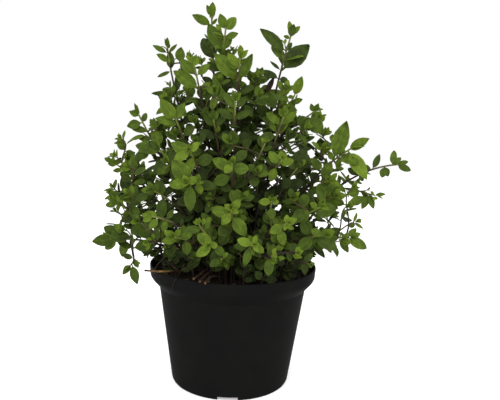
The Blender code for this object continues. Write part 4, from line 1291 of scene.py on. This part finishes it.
# how the leaves of the shoots at the front stand, seen from there, two to a pair from the tip
# down: (direction with 0 to the right and 90 up, length, width)
aims = {
    (0, 0): [
        (88, 8, 4), (60, 4, 2.4), (155, 11.6, 4.2), (45, 9, 2.6), (95, 14, 6), (204, 10.5, 2.6), (177, 18, 4),
        (83, 19, 5), (197, 13.5, 3.6), (20, 12, 7),
    ],
    (1, 0): [
        (100, 7, 3.6), (66, 6.5, 3.4), (136, 15, 7), (42, 12, 5.4), (143, 21, 9.5), (36, 9, 5), (120, 12, 7),
        (330, 11, 7),
    ],
    (2, 0): [
        (113, 9, 3.8), (84, 10, 5.2), (155, 15, 6.2), (50, 6, 3), (250, 7, 4), (62, 8, 4), (114, 17, 9.5),
        (78, 10, 3), (150, 10, 5), (25, 12, 6),
    ],
    (3, 0): [
        (50, 11, 6.8), (112, 11.5, 6.4), (150, 7, 4), (20, 10, 5.4), (121, 21, 10), (69, 13.5, 6),
        (150, 12, 7), (20, 12, 6),
    ],
    (4, 0): [
        (90, 10, 3.6), (48, 9, 4.5), (128, 12, 6.5), (150, 9, 5), (131, 24, 11.5), (65, 20, 7.6), (60, 13, 7),
        (170, 12, 7),
    ],
    (4, 1): [(62, 8, 4.2), (100, 7, 3.6), (50, 12, 6), (150, 11, 6)],
    (5, 0): [(80, 8, 3.8), (110, 8, 3.8), (50, 13, 5.6), (130, 12, 5.4), (28, 13, 6.4), (152, 12, 6)],
    (6, 0): [
        (78, 10, 6.5), (165, 5, 2.6), (143, 24, 7.8), (62, 7, 3.6), (142, 10, 2.6), (44, 26, 15),
        (153, 14, 5.4), (350, 7, 4.6),
    ],
    (7, 0): [(72, 15.5, 7), (190, 5, 3), (150, 18, 8), (20, 9, 5), (60, 12, 6), (200, 11, 6)],
    (7, 1): [(62, 7, 3.5), (112, 7, 3.5), (314, 15.5, 10.5), (216, 9, 6)],
    (8, 0): [(106, 10, 2.6), (154, 8, 5.2), (196, 11, 7.5), (70, 7, 4), (161, 12, 5.2), (320, 8, 5)],
    (9, 0): [(140, 11, 6), (165, 17, 7.5), (236, 14, 7), (60, 8, 5), (200, 12, 7), (330, 12, 7)],
    (10, 0): [(126, 18, 8.6), (66, 15, 6.2), (167, 14.5, 6.2), (188, 7, 4), (40, 10, 6), (250, 11, 6)],
    (11, 0): [(95, 8, 3.6), (68, 8, 3.6), (132, 12, 5), (52, 12, 5), (155, 13, 6), (25, 12, 6)],
    (12, 0): [
        (102, 8, 3.6), (64, 8, 3.6), (124, 12, 5), (48, 11, 5), (150, 13, 5.8), (34, 12, 5.6), (178, 12, 6),
        (4, 12, 6),
    ],
    (13, 0): [(84, 9, 4), (118, 8, 3.8), (42, 13, 6.4), (140, 12, 5.6), (68, 13, 6.6), (186, 11, 6)],
    (13, 1): [(96, 7, 4), (50, 6, 3.6), (132, 10, 5.4), (20, 9, 5), (250, 10, 5.6), (70, 10, 5.6)],
    (14, 0): [(60, 8, 4.4), (140, 8, 4.4), (67, 20.5, 10.4), (240, 10, 6), (20, 14, 8), (200, 12, 7)],
    (15, 0): [(150, 7, 3.6), (80, 6, 3), (172, 7, 3.6), (60, 6, 3), (190, 8, 4), (30, 7, 4)],
    (16, 0): [(190, 8, 4.4), (84, 7, 4), (127, 17, 8.2), (37, 17, 7.4), (270, 15, 7), (200, 12, 7)],
    (17, 0): [(180, 16.5, 8.6), (222, 10, 6), (146, 17, 8.5), (258, 12.5, 6.8), (118, 18, 7), (290, 12, 6)],
    (17, 1): [(297, 15, 6.8), (228, 9, 4.4), (160, 8, 4), (300, 7, 4)],
    (18, 0): [(80, 7, 4), (170, 7, 4), (264, 15, 7.4), (110, 12, 7), (200, 12, 6.4), (20, 12, 7)],
    (19, 0): [(170, 7, 3.6), (205, 7, 3.6), (150, 8, 4), (232, 9, 4.5), (60, 8, 4), (250, 8, 4)],
    (20, 0): [(47, 10, 5.2), (206, 11, 6.2), (145, 15.5, 8.4), (257, 11, 6), (30, 11, 7), (205, 12, 7)],
    (20, 1): [(34, 7.5, 4.8), (186, 11, 5.8), (270, 17, 7.6), (126, 18, 10.5)],
    (21, 0): [(231, 7.3, 5), (80, 6, 3.4), (155, 13.5, 7), (3, 10.5, 7.4), (72, 10, 5.2), (204, 13, 8)],
    (22, 0): [
        (140, 5.6, 3.6), (340, 5, 3.4), (60, 9.9, 5.4), (234, 9.5, 6), (161, 13.4, 7.5), (310, 14.5, 8.2),
    ],
    (23, 0): [(85, 5.5, 3), (300, 5, 3), (164, 9.7, 5), (326, 8, 4.8), (254, 14, 5.6), (60, 7, 4)],
    (24, 0): [(92, 5.6, 3.2), (250, 5, 3), (209, 10, 5.6), (32, 8.8, 4.8), (286, 11.8, 6.2), (120, 7, 4)],
    (24, 1): [(178, 9.2, 5), (4, 5, 3.6), (100, 7, 4), (280, 8, 5)],
    (25, 0): [(15, 5.4, 4.2), (110, 6, 4), (215, 11.4, 6), (140, 10.7, 6.5), (310, 8, 5), (190, 9, 6)],
    (26, 0): [(60, 7, 4), (150, 8, 4.6), (192, 11, 6), (20, 9, 5), (280, 10, 6), (100, 9, 5)],
    (27, 0): [(39, 17, 7.4), (304, 24.5, 10), (76, 28.5, 12.4), (120, 8, 5), (297, 18, 9.6), (140, 12, 7)],
    (28, 0): [
        (338, 10.5, 4.8), (25, 8, 3.6), (85, 10.5, 5), (48, 8, 4), (262, 8.5, 6), (292, 8, 5), (64, 12.5, 5),
        (168, 10, 5), (150, 9, 5), (320, 6, 4),
    ],
    (28, 1): [(12, 8, 3.4), (140, 5, 3), (247, 11.8, 5.4), (288, 11, 4.6), (317, 11.7, 5), (170, 8, 5)],
    (29, 0): [(60, 10, 5.5), (336, 14.5, 7), (302, 12, 5.2), (190, 8, 5), (40, 12, 8), (230, 12, 8)],
    (30, 0): [(60, 8, 4.6), (150, 8, 4.6), (12, 16, 10), (200, 14, 8), (300, 13, 8), (90, 12, 8)],
    (31, 0): [(30, 9, 5), (150, 9, 5), (340, 17, 9), (220, 14, 8), (280, 15, 8), (60, 14, 8)],
}
aimAhead = (32, 16, 4, -4, -4)  # how far each pair points forward, in degrees
# shoots whose own leaves reach up to the tip's place, in mm
shortened = {
    (0, 0): 4.0, (1, 0): 3.0, (1, 1): 10.0, (2, 0): 8.0, (3, 0): 6.0, (4, 0): 6.0, (4, 1): 16.0, (6, 0): 6.8,
    (7, 0): 11.0, (7, 1): 5.0, (10, 0): 7.0, (14, 0): 10.0, (17, 0): 6.0, (28, 0): 3.5, (29, 0): 4.0,
}
# where the pairs of some shoots stand, and runs of their stalks that stay bare, in mm below the tip
aimPlaces = {
    (0, 0): (1.0, 4.0, 16.3, 33.5, 40.0),
    (6, 0): (1.2, 10.5, 24.5, 30.5),
    (10, 0): (1.1, 2.8, 12.0),
    (27, 0): (1.6, 13.8, 23.0),
}
# and how much brighter or darker than others their leaves are painted: painted light and shade for each of
# these shoots
aimLightAndShade = {
    (0, 0): -0.1, (1, 0): 0.14, (2, 0): -0.06, (3, 0): 0.06, (4, 0): 0.14, (6, 0): -0.24, (7, 0): 0.06,
    (7, 1): -0.16, (8, 0): -0.12, (9, 0): -0.12, (10, 0): 0.04, (14, 0): -0.1, (17, 0): -0.1,
    (17, 1): -0.12, (20, 0): 0.2, (20, 1): 0.04, (27, 0): 0.06, (28, 0): -0.14, (28, 1): -0.06,
}
bareRuns = {(0, 0): (17, 33), (2, 0): (30, 46), (6, 0): (25, 56)}


clearViews = []  # tips that no leaf may hide from the front
guardSize = (10.0, 6.2, 0.9)  # length, width and thickness of the blade that guards are scaled from


def unitGuard():
    guard = guardBlade(*guardSize)
    made = [vert.co.copy() for vert in guard.verts], [[v.index for v in face.verts] for face in guard.faces]
    guard.free()
    return made


guardPoints, guardFaces = unitGuard()


def leafGuard(leaf, thick):
    # the plain blade that keeps this leaf's place clear: its tree and its points
    length, width, _ = guardSize
    scaled = leaf.matrix @ Matrix.Diagonal((leaf.width / width, leaf.length / length, thick, 1))
    points = [scaled @ point for point in guardPoints]
    return BVHTree.FromPolygons(points, guardFaces), points


def aimLeaf(base, aim, ahead, roll):
    turn, lift = math.radians(aim[0]), math.radians(ahead)
    along = Vector((math.cos(turn) * math.cos(lift), -math.sin(lift), math.sin(turn) * math.cos(lift)))
    face = Vector((0, -1, 0.3))
    face = (face - along * face.dot(along)).normalized()
    face = Matrix.Rotation(roll, 3, along) @ face
    turned = Matrix((along.cross(face).normalized(), along, face)).transposed().to_4x4()
    turned.translation = base
    return Leaf(turned, aim[1], aim[2])


def pairPlaces(owner, shoot, count=None):
    # where a shoot's pairs stand, in mm below its tip
    scale = shoot.leaf / pairs["placeLeaf"]
    return aimPlaces.get(owner) or [place * scale for place in pairs["place"][:count]]


def dressStems(plan, room, draw):
    # the leaves the solids have too, as they are seen: [stem][shoot] of (leaf, pair, tone added)
    dressed = []
    for number, (stem, axes, shoots) in enumerate(plan[: -len(cutStubs)]):
        made = []
        for order, (shoot, axis, leaves) in enumerate(zip(stem, axes, shoots)):
            owner = (number, order)
            aimed, cut, seen = aims.get(owner, ()), shortened.get(owner, 0), []
            places = pairPlaces(owner, shoot)
            # the shoots that reach furthest to the front have their leaves painted brightest: painted light
            # where they stand out in front
            lift = aimLightAndShade.get(owner, 0.14 if shoot.tip[1] < -50 else 0.0)
            for index, aim in enumerate(aimed):
                pair = index // 2
                base, _ = axis.smooth(axis.length - cut - places[pair])
                leaf = aimLeaf(base, aim, aimAhead[pair] + draw.uniform(-6, 6), draw.uniform(-0.35, 0.35))
                room.add(owner, *leafGuard(leaf, 1))
                seen.append((leaf, pair, lift))
            for leaf, below, pair in leaves:
                if 2 * pair < len(aimed) or below < cut:
                    continue
                # the leaf follows the smooth curve, a little aside from the straight run
                distance = axis.length - below
                matrix = leaf.matrix.copy()
                matrix.translation += axis.smooth(distance)[0] - axis.at(distance)[0]
                # it stands closer to a stalk that rises steeply
                close = math.radians(16) * max(shoot.rise - 45, 0) / 45
                matrix = faceLight(matrix @ Matrix.Rotation(close, 4, "X"))
                width = leaf.width * draw.uniform(0.78, 1.0)
                # leaves of shoots that end low are painted darker: painted shade at the bush's foot
                darker = -0.16 if shoot.tip[2] < look["shadedLowTip"] else 0.0
                seen.append((Leaf(matrix, leaf.length, width), pair, darker))
            if aimed and Vector(shoot.tip).y < -40:
                clearViews.append(Vector(shoot.tip))
            made.append(seen)
        dressed.append(made)
    return dressed


def faceLight(matrix):
    # a leaf twists on its stalk until its upper face is turned to the light
    place, along, face = matrix.translation, matrix.col[1].xyz, matrix.col[2].xyz
    out = Vector((place.x, place.y, 0)) / pot["rimRadius"]
    front = min(max((light["back"] - place.y) / light["fade"], 0.0), 1.0)
    toward = out * light["out"] + Vector((0, -1, 0)) * light["front"] * front + up * light["up"]
    toward -= along * toward.dot(along)
    if toward.length < 0.1:
        return matrix
    angle = face.angle(toward) * (1 if face.cross(toward).dot(along) > 0 else -1)
    most = light["most"]
    return matrix @ Matrix.Rotation(min(max(angle * light["share"], -most), most), 4, "Y")


def hides(place):
    # whether a leaf here would stand in front of one of the rosettes
    return any(
        place.y < tip.y + 3 and math.hypot(place.x - tip.x, place.z - tip.z) < light["view"]
        for tip in clearViews
    )


def tryLeaf(room, owner, base, way, bearing, opening, roll, length, share):
    for turn, spread, size in fill["tries"]:
        turned = leafMatrix(base, way, bearing + math.radians(turn), math.radians(opening + spread), 0)
        turned = faceLight(turned) @ Matrix.Rotation(roll, 4, "Y")
        long = length * size
        if hides(turned @ Vector((0, long / 2, 0))):
            continue
        leaf = Leaf(turned, long, long * share)
        tree, points = leafGuard(leaf, max(long / guardSize[0], 0.6))
        if room.isFree(owner, tree, points):
            room.add(owner, tree, points)
            return leaf
    return None


def tipBud(tip, way, leaf, twist, draw):
    # two crossed pairs of half-open leaves
    made = []
    for size, opening, turn, lift in fill["bud"]:
        for half in (0, 180):
            bearing = math.radians(twist + turn + half + draw.uniform(-fill["turn"], fill["turn"]))
            length = leaf * size * draw.uniform(0.85, 1.15)
            spread = math.radians(opening + draw.uniform(-5, 8))
            turned = leafMatrix(tip + way * lift, way, bearing, spread, 0)
            made.append((Leaf(faceLight(turned), length, length * 0.55), draw.uniform(0.75, 0.95)))
    return made


def sideShoot(room, owner, base, way, bearing, depth, draw):
    # a short shoot in a leaf's axil: its leaves, and its stalk
    lean = math.radians(draw.uniform(*fill["sideLean"]))
    out = outward(way, bearing)
    ahead = (way * math.cos(lean) + out * math.sin(lean)).normalized()
    low, high = fill["sideLength"]
    reach = low + min(depth * 2, 1.0) * draw.uniform(0.2, 1.0) * (high - low)
    end = base + ahead * reach
    tone = 0.85 - 0.4 * depth + draw.uniform(-0.1, 0.1)
    crown, larger = fill["sideCrown"]
    size = draw.uniform(*fill["sideLeaf"]) * (larger if base.z > crown else 1.0)
    twist = draw.uniform(0, 180)
    placed = []
    for step, (back, share, spread) in enumerate(fill["sidePairs"]):
        if back > reach - 1.5 and step:
            break
        for turn in (0, 180):
            leaf = tryLeaf(
                room, owner, end - ahead * back, ahead, math.radians(twist + 90 * step + turn),
                spread + draw.uniform(-6, 6), math.radians(draw.uniform(-20, 20)),
                size * share * draw.uniform(0.85, 1.1), draw.uniform(*fill["width"]),
            )
            if leaf:
                placed.append((leaf, tone + 0.08 * (1 - step)))
    return placed, [(base, end)] if placed else []


def fillShoot(room, number, order, shoot, axis, draw):
    # [(leaf, tone)] and [(start, end)] of the small stalks that this shoot gains
    own = (number, order)
    shortest, longest = fill["lengths"]
    reach = axis.length - shortened.get(own, 0)
    bareFrom, bareTo = bareRuns.get(own, (0, 0))
    tip, way = axis.smooth(reach)
    leaves, twigs = tipBud(tip, way, shoot.leaf, shoot.twist, draw), []
    spread = fill["spread"][0 if shoot.rise > fill["steep"] else 1]
    main = bush["places"] if shoot.fork == -1 else pairPlaces(own, shoot, shoot.pairs)
    places = [(below, 90 * pair, False) for pair, below in enumerate(main)]
    # a smaller pair between two that stand far apart
    for pair, (above, below) in enumerate(zip(main, main[1:])):
        if below - above > fill["between"]:
            places.append(((above + below) / 2, 90 * pair + 45, True))
    below, turn = (main[-1] if main else 0.0), 90 * shoot.pairs
    lowest = reach - fill["floor"][min(order, 1)]
    crown, closer = fill["crown"]
    while below < lowest:
        close = closer if reach - below > crown else 1.0
        below += draw.uniform(*fill["spacing"]) * (0.8 + shoot.leaf / 70) * close
        places.append((below, turn, True))
        turn += 90
    for below, turn, bare in places:
        if below > lowest or bareFrom < below < bareTo:
            continue
        base, way = axis.smooth(reach - below)
        depth = min(below / 90, 1.0)
        for half in (0, 180):
            bearing = math.radians(shoot.twist + turn + half + draw.uniform(-fill["turn"], fill["turn"]))
            if bare:
                length = shoot.leaf * draw.uniform(*fill["size"]) * (1 - 0.15 * depth)
                opening = draw.uniform(*spread)
                roll = math.radians(draw.uniform(-fill["roll"], fill["roll"]))
                length, width = min(max(length, shortest), longest), draw.uniform(*fill["width"])
                leaf = tryLeaf(room, own, base, way, bearing, opening, roll, length, width)
                if leaf:
                    leaves.append((leaf, 0.7 - 0.3 * depth + draw.uniform(-0.1, 0.1)))
            if below > 2 and draw.random() < fill["sideShare"]:
                owner = (*own, round(below), half)
                added, stalks = sideShoot(room, owner, base, way, bearing, depth, draw)
                leaves += added
                twigs += stalks
    return leaves, twigs


def pairLeaves(room, owner, axis, twist, rows, wider, tone, draw):
    # pairs of leaves down a thin stalk. rows: each pair's place below the tip, size and opening
    leaves = []
    for pair, (below, size, opening) in enumerate(rows):
        at, along = axis.smooth(axis.length - below)
        for half in (0, 180):
            turn = math.radians(twist + 90 * pair + half + draw.uniform(-fill["turn"], fill["turn"]))
            length = size * draw.uniform(0.85, 1.08)
            spread = opening + draw.uniform(-8, 8) + wider
            roll, share = math.radians(draw.uniform(-28, 28)), draw.uniform(*fill["width"])
            leaf = tryLeaf(room, owner, at, along, turn, spread, roll, length, share)
            if leaf:
                leaves.append((leaf, tone(pair)))
    return leaves


def growBranch(room, owner, parent, base, way, end, draw):
    # a thin branch as (axis, leaves), or None
    shoot, axis = thinShoot(base, way, end, branches, draw, pairs=0)
    tree, points = tubeGuard(axis, *branches["guard"])
    if not room.isFree(parent, tree, points):
        return None
    scale = shoot.leaf / pairs["placeLeaf"]
    rows = [
        (below * scale, shoot.leaf * size, opening)
        for below, size, opening in zip(branches["places"], branches["sizes"], pairs["opening"])
        if below * scale <= axis.length - 4
    ]
    wider = pairs["levelOpening"] * (1 - shoot.rise / 90)
    leaves = pairLeaves(
        room, owner, axis, shoot.twist, rows, wider, lambda pair: leafTone(pair, draw), draw
    )
    if len(leaves) < 3:
        room.remove(owner)
        return None
    room.add(owner, tree, points)
    return axis, leaves + tipBud(*axis.smooth(axis.length), shoot.leaf, shoot.twist, draw)


def growBranches(room, plan, draw):
    # thin leafy branches, each where the bush has the widest gap left: {stem: [(axis, leaves)]}
    stems, step = plan[: -len(cutStubs)], branches["stepUp"]
    starts = [
        (number, order, *axis.smooth(distance))
        for number, (_, axes, _) in enumerate(stems)
        for order, axis in enumerate(axes)
        for distance in steps(branches["starts"][min(order, 1)], axis.length - step, step)
    ]
    centres = np.array([
        leafCentre(leaf) for _, _, shoots in stems for leaves in shoots for leaf, _, _ in leaves
    ])
    heads = np.array([start[2] for start in starts])
    ends = bulkPoints(draw, branches["ends"], 4, 0.02) + [Vector(end) for end in branches["flanks"]]
    array = np.array(ends)
    gaps = np.array([np.linalg.norm(centres - end, axis=1).min() for end in array])
    gaps[-len(branches["flanks"]) :] = 1e3
    grown, count = {}, 0
    while count < branches["count"] and gaps.max() > branches["gap"]:
        widest = int(gaps.argmax())
        end = ends[widest]
        gaps[widest] = 0.0
        far = np.linalg.norm(heads - array[widest], axis=1)
        far[heads[:, 2] > end.z - 4] = 1e3
        for choice in np.argsort(far)[:8]:
            if not branches["reach"][0] < far[choice] < branches["reach"][1]:
                continue
            number, order, base, way = starts[choice]
            made = growBranch(room, ("branch", widest), (number, order), base, way, end, draw)
            if not made:
                continue
            grown.setdefault(number, []).append(made)
            # the gaps close only once all the flanks' branches stand
            for leaf, _ in made[1]:
                if gaps.max() > 999:
                    break
                gaps = np.minimum(gaps, np.linalg.norm(array - np.array(leafCentre(leaf)), axis=1))
            count += 1
            break
    return grown


def shadeOf(place):
    # how much darker a leaf is painted, as painted shade: the further inside the bush and the lower it
    # stands, the more
    middle, radius = bulkAt(place.z)
    depth = radius - math.hypot(place.x - middle, place.y)
    inside = min(max(depth / shade["reach"], 0.0), 1.0)
    (foot, footRun, footMost), (top, topRun, topLess) = shade["low"], shade["high"]
    low = min(max((foot - place.z) / footRun, 0.0), 1.0)
    high = min(max((place.z - top) / topRun, 0.0), 1.0)
    return shade["most"] * inside * (1 - topLess * high) + footMost * low * (0.4 + 0.6 * inside)


sprouts = {
    "seed": 53,
    "count": 90,
    "ring": 54.0,
    "height": (6.0, 26.0),
    "leaf": (6.5, 11.0),
    "pairs": ((0.8, 0.65, 38), (4.0, 0.9, 56), (9.0, 1.0, 66), (15.0, 0.9, 74)),  # place, size, opening
}


def growSprouts(room, draw):
    # short leafy sprouts that rise straight out of the soil: (axis, leaves)
    made = []
    for index in range(sprouts["count"]):
        out, bearing = sprouts["ring"] * math.sqrt(draw.random()), draw.uniform(0, 360)
        foot = bearingVector(bearing) * out
        foot.z = soilHeight(foot.x, foot.y)
        height = draw.uniform(*sprouts["height"])
        tip = foot + bearingVector(bearing + draw.uniform(-40, 40)) * height * 0.35 + up * height
        leafSize, twist = draw.uniform(*sprouts["leaf"]), draw.uniform(0, 90)
        axis = stalkAxis(foot, up, Shoot(tuple(tip), draw.uniform(40, 80), bearing, leafSize, twist, 0), 4)
        owner = ("sprout", index)
        rows = [
            (below, leafSize * size, opening)
            for below, size, opening in sprouts["pairs"] if below <= axis.length - 3.5
        ]
        # sprout leaves are painted dark: painted shade under the bush
        leaves = pairLeaves(room, owner, axis, twist, rows, 0.0, lambda pair: draw.uniform(0.1, 0.4), draw)
        if len(leaves) > 1:
            room.add(owner, *tubeGuard(axis, 0.6))
            made.append((axis, leaves))
    return made


# stalks and leaves as they are seen
look = {
    "leafTones": (0.74, 0.66, 0.58, 0.5, 0.44, 0.38),  # of each pair, from the tip down
    "main": (1.05, 0.6),  # radius of a stalk at its foot and at its tip
    "fork": (0.8, 0.55),
    "thin": (0.6, 0.45),
    "greenRun": 48.0,  # mm from the tip over which a stalk turns brown
    "shadedLowTip": 113.0,  # shoots that end lower are painted darker, their leaves and stalk tips: painted shade at the bush's foot
    "rootDepth": 8.0,
}


def leafTone(pair, draw):
    return look["leafTones"][min(pair, 5)] + draw.uniform(-0.1, 0.1)


def taper(thick, thin, count):
    return [thick + (thin - thick) * i / (count - 1) for i in range(count)]


# young: how pale and green a stalk's tip is. Values below 1 are painted shade, on stalks inside the bush and
# near its foot
def stalkTube(axis, ends, rooted=False, young=1.0, cut=0.0):
    count = 20 if rooted else 12
    line, radii = axis.sampled(axis.length - cut, count), taper(*ends, count)
    if rooted:
        line, radii = [line[0] - up * look["rootDepth"], *line], [radii[0], *radii]
    tube = makeTube("stalk", line, radii, 6)
    tip = line[-1]
    setTones(tube, lambda co: young - min((co - tip).length / look["greenRun"], young))
    setMaterials(tube, stalkSkin)
    return tube


def makePlant():
    plan, room = planPlant()
    print("plan ready:", sum(len(leaves) for _, _, shoots in plan for leaves in shoots), "main leaves")
    forms = {name: makeLeafForm(name) for name in leafForms["outlines"]}
    twigForm = makeTwigForm()
    draw = random.Random(fill["seed"])
    dressed = dressStems(plan, room, draw)
    filled = [
        [
            fillShoot(room, number, order, shoot, axis, draw)
            for order, (shoot, axis) in enumerate(zip(stem, axes))
        ]
        for number, (stem, axes, _) in enumerate(plan[: -len(cutStubs)])
    ]
    print("leaves filled in:", sum(len(leaves) for stem in filled for leaves, _ in stem))
    grown = growBranches(room, plan, random.Random(branches["seed"]))
    print("thin branches:", sum(len(made) for made in grown.values()))
    low = growSprouts(room, random.Random(sprouts["seed"]))
    print("sprouts:", len(low))

    def grow(leaves):
        made = []
        for leaf, tone in leaves:
            form = forms["small"] if leaf.length < 8 else forms[draw.choice(("ovate", "round", "narrow"))]
            made.append(copyLeaf(form, leaf, tone - shadeOf(leaf.matrix.translation)))
        return made

    for number, (_, axes, _) in enumerate(plan[: -len(cutStubs)]):
        pieces, extra = [], []
        for order, axis in enumerate(axes):
            cut = shortened.get((number, order), 0)
            # stalks of low shoots get a less green, darker tip: painted shade at the bush's foot
            young = 1.0 if axis.smooth(axis.length)[0].z > look["shadedLowTip"] else 0.6
            ends = look["fork" if order else "main"]
            pieces.append(stalkTube(axis, ends, order == 0, young, cut))
            for leaf, pair, lift in dressed[number][order]:
                form = forms[draw.choice(("ovate", "round", "narrow", "ovate"))]
                tone = leafTone(pair, draw) + lift - shadeOf(leaf.matrix.translation)
                pieces.append(copyLeaf(form, leaf, tone))
            added, twigs = filled[number][order]
            extra += grow(added)
            extra += [copyTwig(twigForm, *ends) for ends in twigs]
        for axis, leaves in grown.get(number, []):
            # thin branches inside the bush get a darker stalk tip: painted shade
            extra.append(stalkTube(axis, look["thin"], young=0.8))
            extra += grow(leaves)
        finishPiece(joinAll(pieces, f"stem_{number + 1:02d}"), "oregano_leaf", f"leafy_stem_{number + 1:02d}")
        if extra:
            finishPiece(joinAll(extra, f"young_growth_{number + 1:02d}"), "oregano_leaf")
    pieces = []
    for axis, leaves in low:
        # sprout stalks get a darker tip: painted shade under the bush
        pieces.append(stalkTube(axis, look["thin"], young=0.5))
        pieces += grow(leaves)
    finishPiece(joinAll(pieces, "sprouts"), "oregano_leaf")
    for form in [*forms.values(), twigForm]:
        bpy.data.objects.remove(form, do_unlink=True)
    return plan


plan = makePlant()
print("plant made")


# old wood: the cut stubs, the dry twig and a root fibre

oldWood = {
    "stub": (0.95, 0.8),  # radius at its foot and at its end
    "twig": (0.6, 0.85),
    # bare: the pale tone of the twig's painted highlight
    "tones": {
        "cut": 0.66, "stub": 0.42, "bare": 0.85, "twig": 0.35, "dead": 0.28, "leaf": 0.3, "fibre": 0.22,
    },
    "highlightRun": (-54, -36),  # where a highlight is painted on the twig, as a pale run
    "twiglets": [
        ((-34, -30, 85.8), (-29, -37, 87.5)),
        ((-40, -34, 86.6), (-44, -26, 89.0)),
        ((-26, -24, 84.5), (-20, -33, 86.5)),
    ],
    # dead stalks that stand at the rim: points and thickness
    "dead": [
        ([(-54, -32, 83), (-50, -35, 91), (-45, -38, 97), (-38, -42, 101)], 0.42),
        ([(-45, -38, 97), (-41, -42, 94), (-35, -46, 91)], 0.34),
        ([(-48, -36, 83), (-45, -37, 90), (-46, -36, 97), (-50, -34, 102)], 0.36),
        ([(-36, -40, 83), (-33, -45, 90), (-30, -50, 96)], 0.34),
    ],
    # a withered leaf that still hangs on a stem: the stem, how far below its tip it joins,
    # how its own stalk runs, and the leaf's direction, length and width
    "withered": (6, 62.0, (-6.0, -14.0, 11.5), (62, 14.0, 5.4)),
    "fibre": [
        (-33.5, -43.0, 83.5), (-34.0, -47.4, 86.7), (-35.1, -49.5, 86.5), (-36.3, -48.7, 84.3),
        (-37.4, -47.7, 81.4), (-38.2, -47.0, 78.6), (-38.4, -46.4, 76.2),
    ],
}


tones = oldWood["tones"]


def woodTube(name, points, radii, tone, bark=0):
    # bark: the seed of its uneven skin, or 0 for a thin smooth one
    tube = makeTube(name, points, radii, 8 if bark else 4)
    if bark:
        activate(tube)
        bpy.ops.object.mode_set(mode="EDIT")
        bpy.ops.mesh.select_all(action="SELECT")
        bpy.ops.mesh.subdivide(number_cuts=1)
        bpy.ops.transform.vertex_random(offset=0.12 * mm, seed=bark)
        bpy.ops.object.mode_set(mode="OBJECT")
    setTones(tube, tone)
    setMaterials(tube, dryWood)
    return tube


def makeCutStubs():
    for number, (_, axes, _) in enumerate(plan[-len(cutStubs) :], start=1):
        line = axes[0].sampled(axes[0].length, 12)
        line = [line[0] - up * look["rootDepth"], *line]
        tip = line[-1]
        # the cut end shows pale wood
        stub = woodTube(
            f"cutStub_{number}", line, taper(*oldWood["stub"], len(line)),
            lambda co: tones["cut"] if (co - tip).length < 1.0 else tones["stub"], number,
        )
        finishPiece(stub, "dry_wood", f"cut_stub_{number}")


def makeDryTwig():
    points = [Vector(p) for p in dryTwig]
    # the twig is painted pale between left and right: a painted highlight
    left, right = oldWood["highlightRun"]
    parts = [
        woodTube(
            "dryTwig", points, taper(*oldWood["twig"], len(points)),
            lambda co: tones["bare"] if left < co.x < right else tones["twig"], 9,
        )
    ]
    for start, end in oldWood["twiglets"]:
        start, end = Vector(start), Vector(end)
        middle = start.lerp(end, 0.5) + up * 0.8
        parts.append(woodTube("twiglet", [start, middle, end], (0.5, 0.4, 0.25), lambda co: tones["twig"], 4))
    finishPiece(joinAll(parts, "dryTwig"), "dry_wood", "dry_twig")


def makeDeadStalks():
    parts = [
        woodTube("deadStalk", [Vector(p) for p in points], [thick] * len(points), lambda co: tones["dead"], 5)
        for points, thick in oldWood["dead"]
    ]
    finishPiece(joinAll(parts, "deadStalks"), "dry_wood")


def makeWitheredLeaf():
    number, below, run, aim = oldWood["withered"]
    axis = plan[number][1][0]
    start = axis.smooth(axis.length - below)[0]
    foot = start + Vector(run)
    form = makeLeafForm("narrow")
    leaf = copyLeaf(form, aimLeaf(foot, aim, 10, 0.9), tones["leaf"])
    bpy.data.objects.remove(form, do_unlink=True)
    setMaterials(leaf, dryWood)
    line = [start, start.lerp(foot, 0.5) - up, foot]
    petiole = woodTube("petiole", line, [0.4, 0.3, 0.25], lambda co: tones["leaf"])
    finishPiece(joinAll([leaf, petiole], "witheredLeaf"), "dry_wood")


def makeRootFibre():
    points = [Vector(p) for p in oldWood["fibre"]]
    fibre = woodTube("rootFibre", points, [0.24] * len(points), lambda co: tones["fibre"])
    finishPiece(fibre, "dry_wood")


makeCutStubs()
makeDryTwig()
makeDeadStalks()
makeWitheredLeaf()
makeRootFibre()
print("old wood made")


# floor, light and surroundings

studio = {
    "floor": 4.0,  # metres across
    "world": 1.0,
    "key": ((-0.35, -1.1, 0.9), 1.0, 9.0),  # place, size and power of each soft light
    "fill": ((0.9, -0.6, 0.8), 0.9, 3.0),
}


def makeFloor():
    deselect()
    bpy.ops.mesh.primitive_plane_add(size=studio["floor"])
    floor = bpy.context.object
    material, shader = newMaterial("paleFloor")
    shader.inputs["Base Color"].default_value = linear("#f6f6f6")
    shader.inputs["Roughness"].default_value = 0.9
    shader.inputs["Emission Color"].default_value = linear("#ffffff")
    shader.inputs["Emission Strength"].default_value = 0.35
    setMaterials(floor, material)
    floor.name = floor.data.name = "floor"


def makeLight(name, place, size, power):
    data = bpy.data.lights.new(name, "AREA")
    data.shape, data.size, data.energy = "DISK", size, power
    lamp = bpy.data.objects.new(name, data)
    bpy.context.scene.collection.objects.link(lamp)
    lamp.location = place
    lamp.rotation_euler = (Vector((0, 0, 0.15)) - Vector(place)).to_track_quat("-Z", "Y").to_euler()


def makeStudio():
    makeFloor()
    for name in ("key", "fill"):
        makeLight(name, *studio[name])
    world = bpy.data.worlds.new("studioWorld")
    world.use_nodes = True
    sky = world.node_tree.nodes["Background"]
    sky.inputs["Color"].default_value = linear("#ffffff")
    sky.inputs["Strength"].default_value = studio["world"]
    bpy.context.scene.world = world
    bpy.context.scene.view_settings.view_transform = "Standard"


makeStudio()
print("studio ready")

deselect()
bpy.context.view_layer.update()
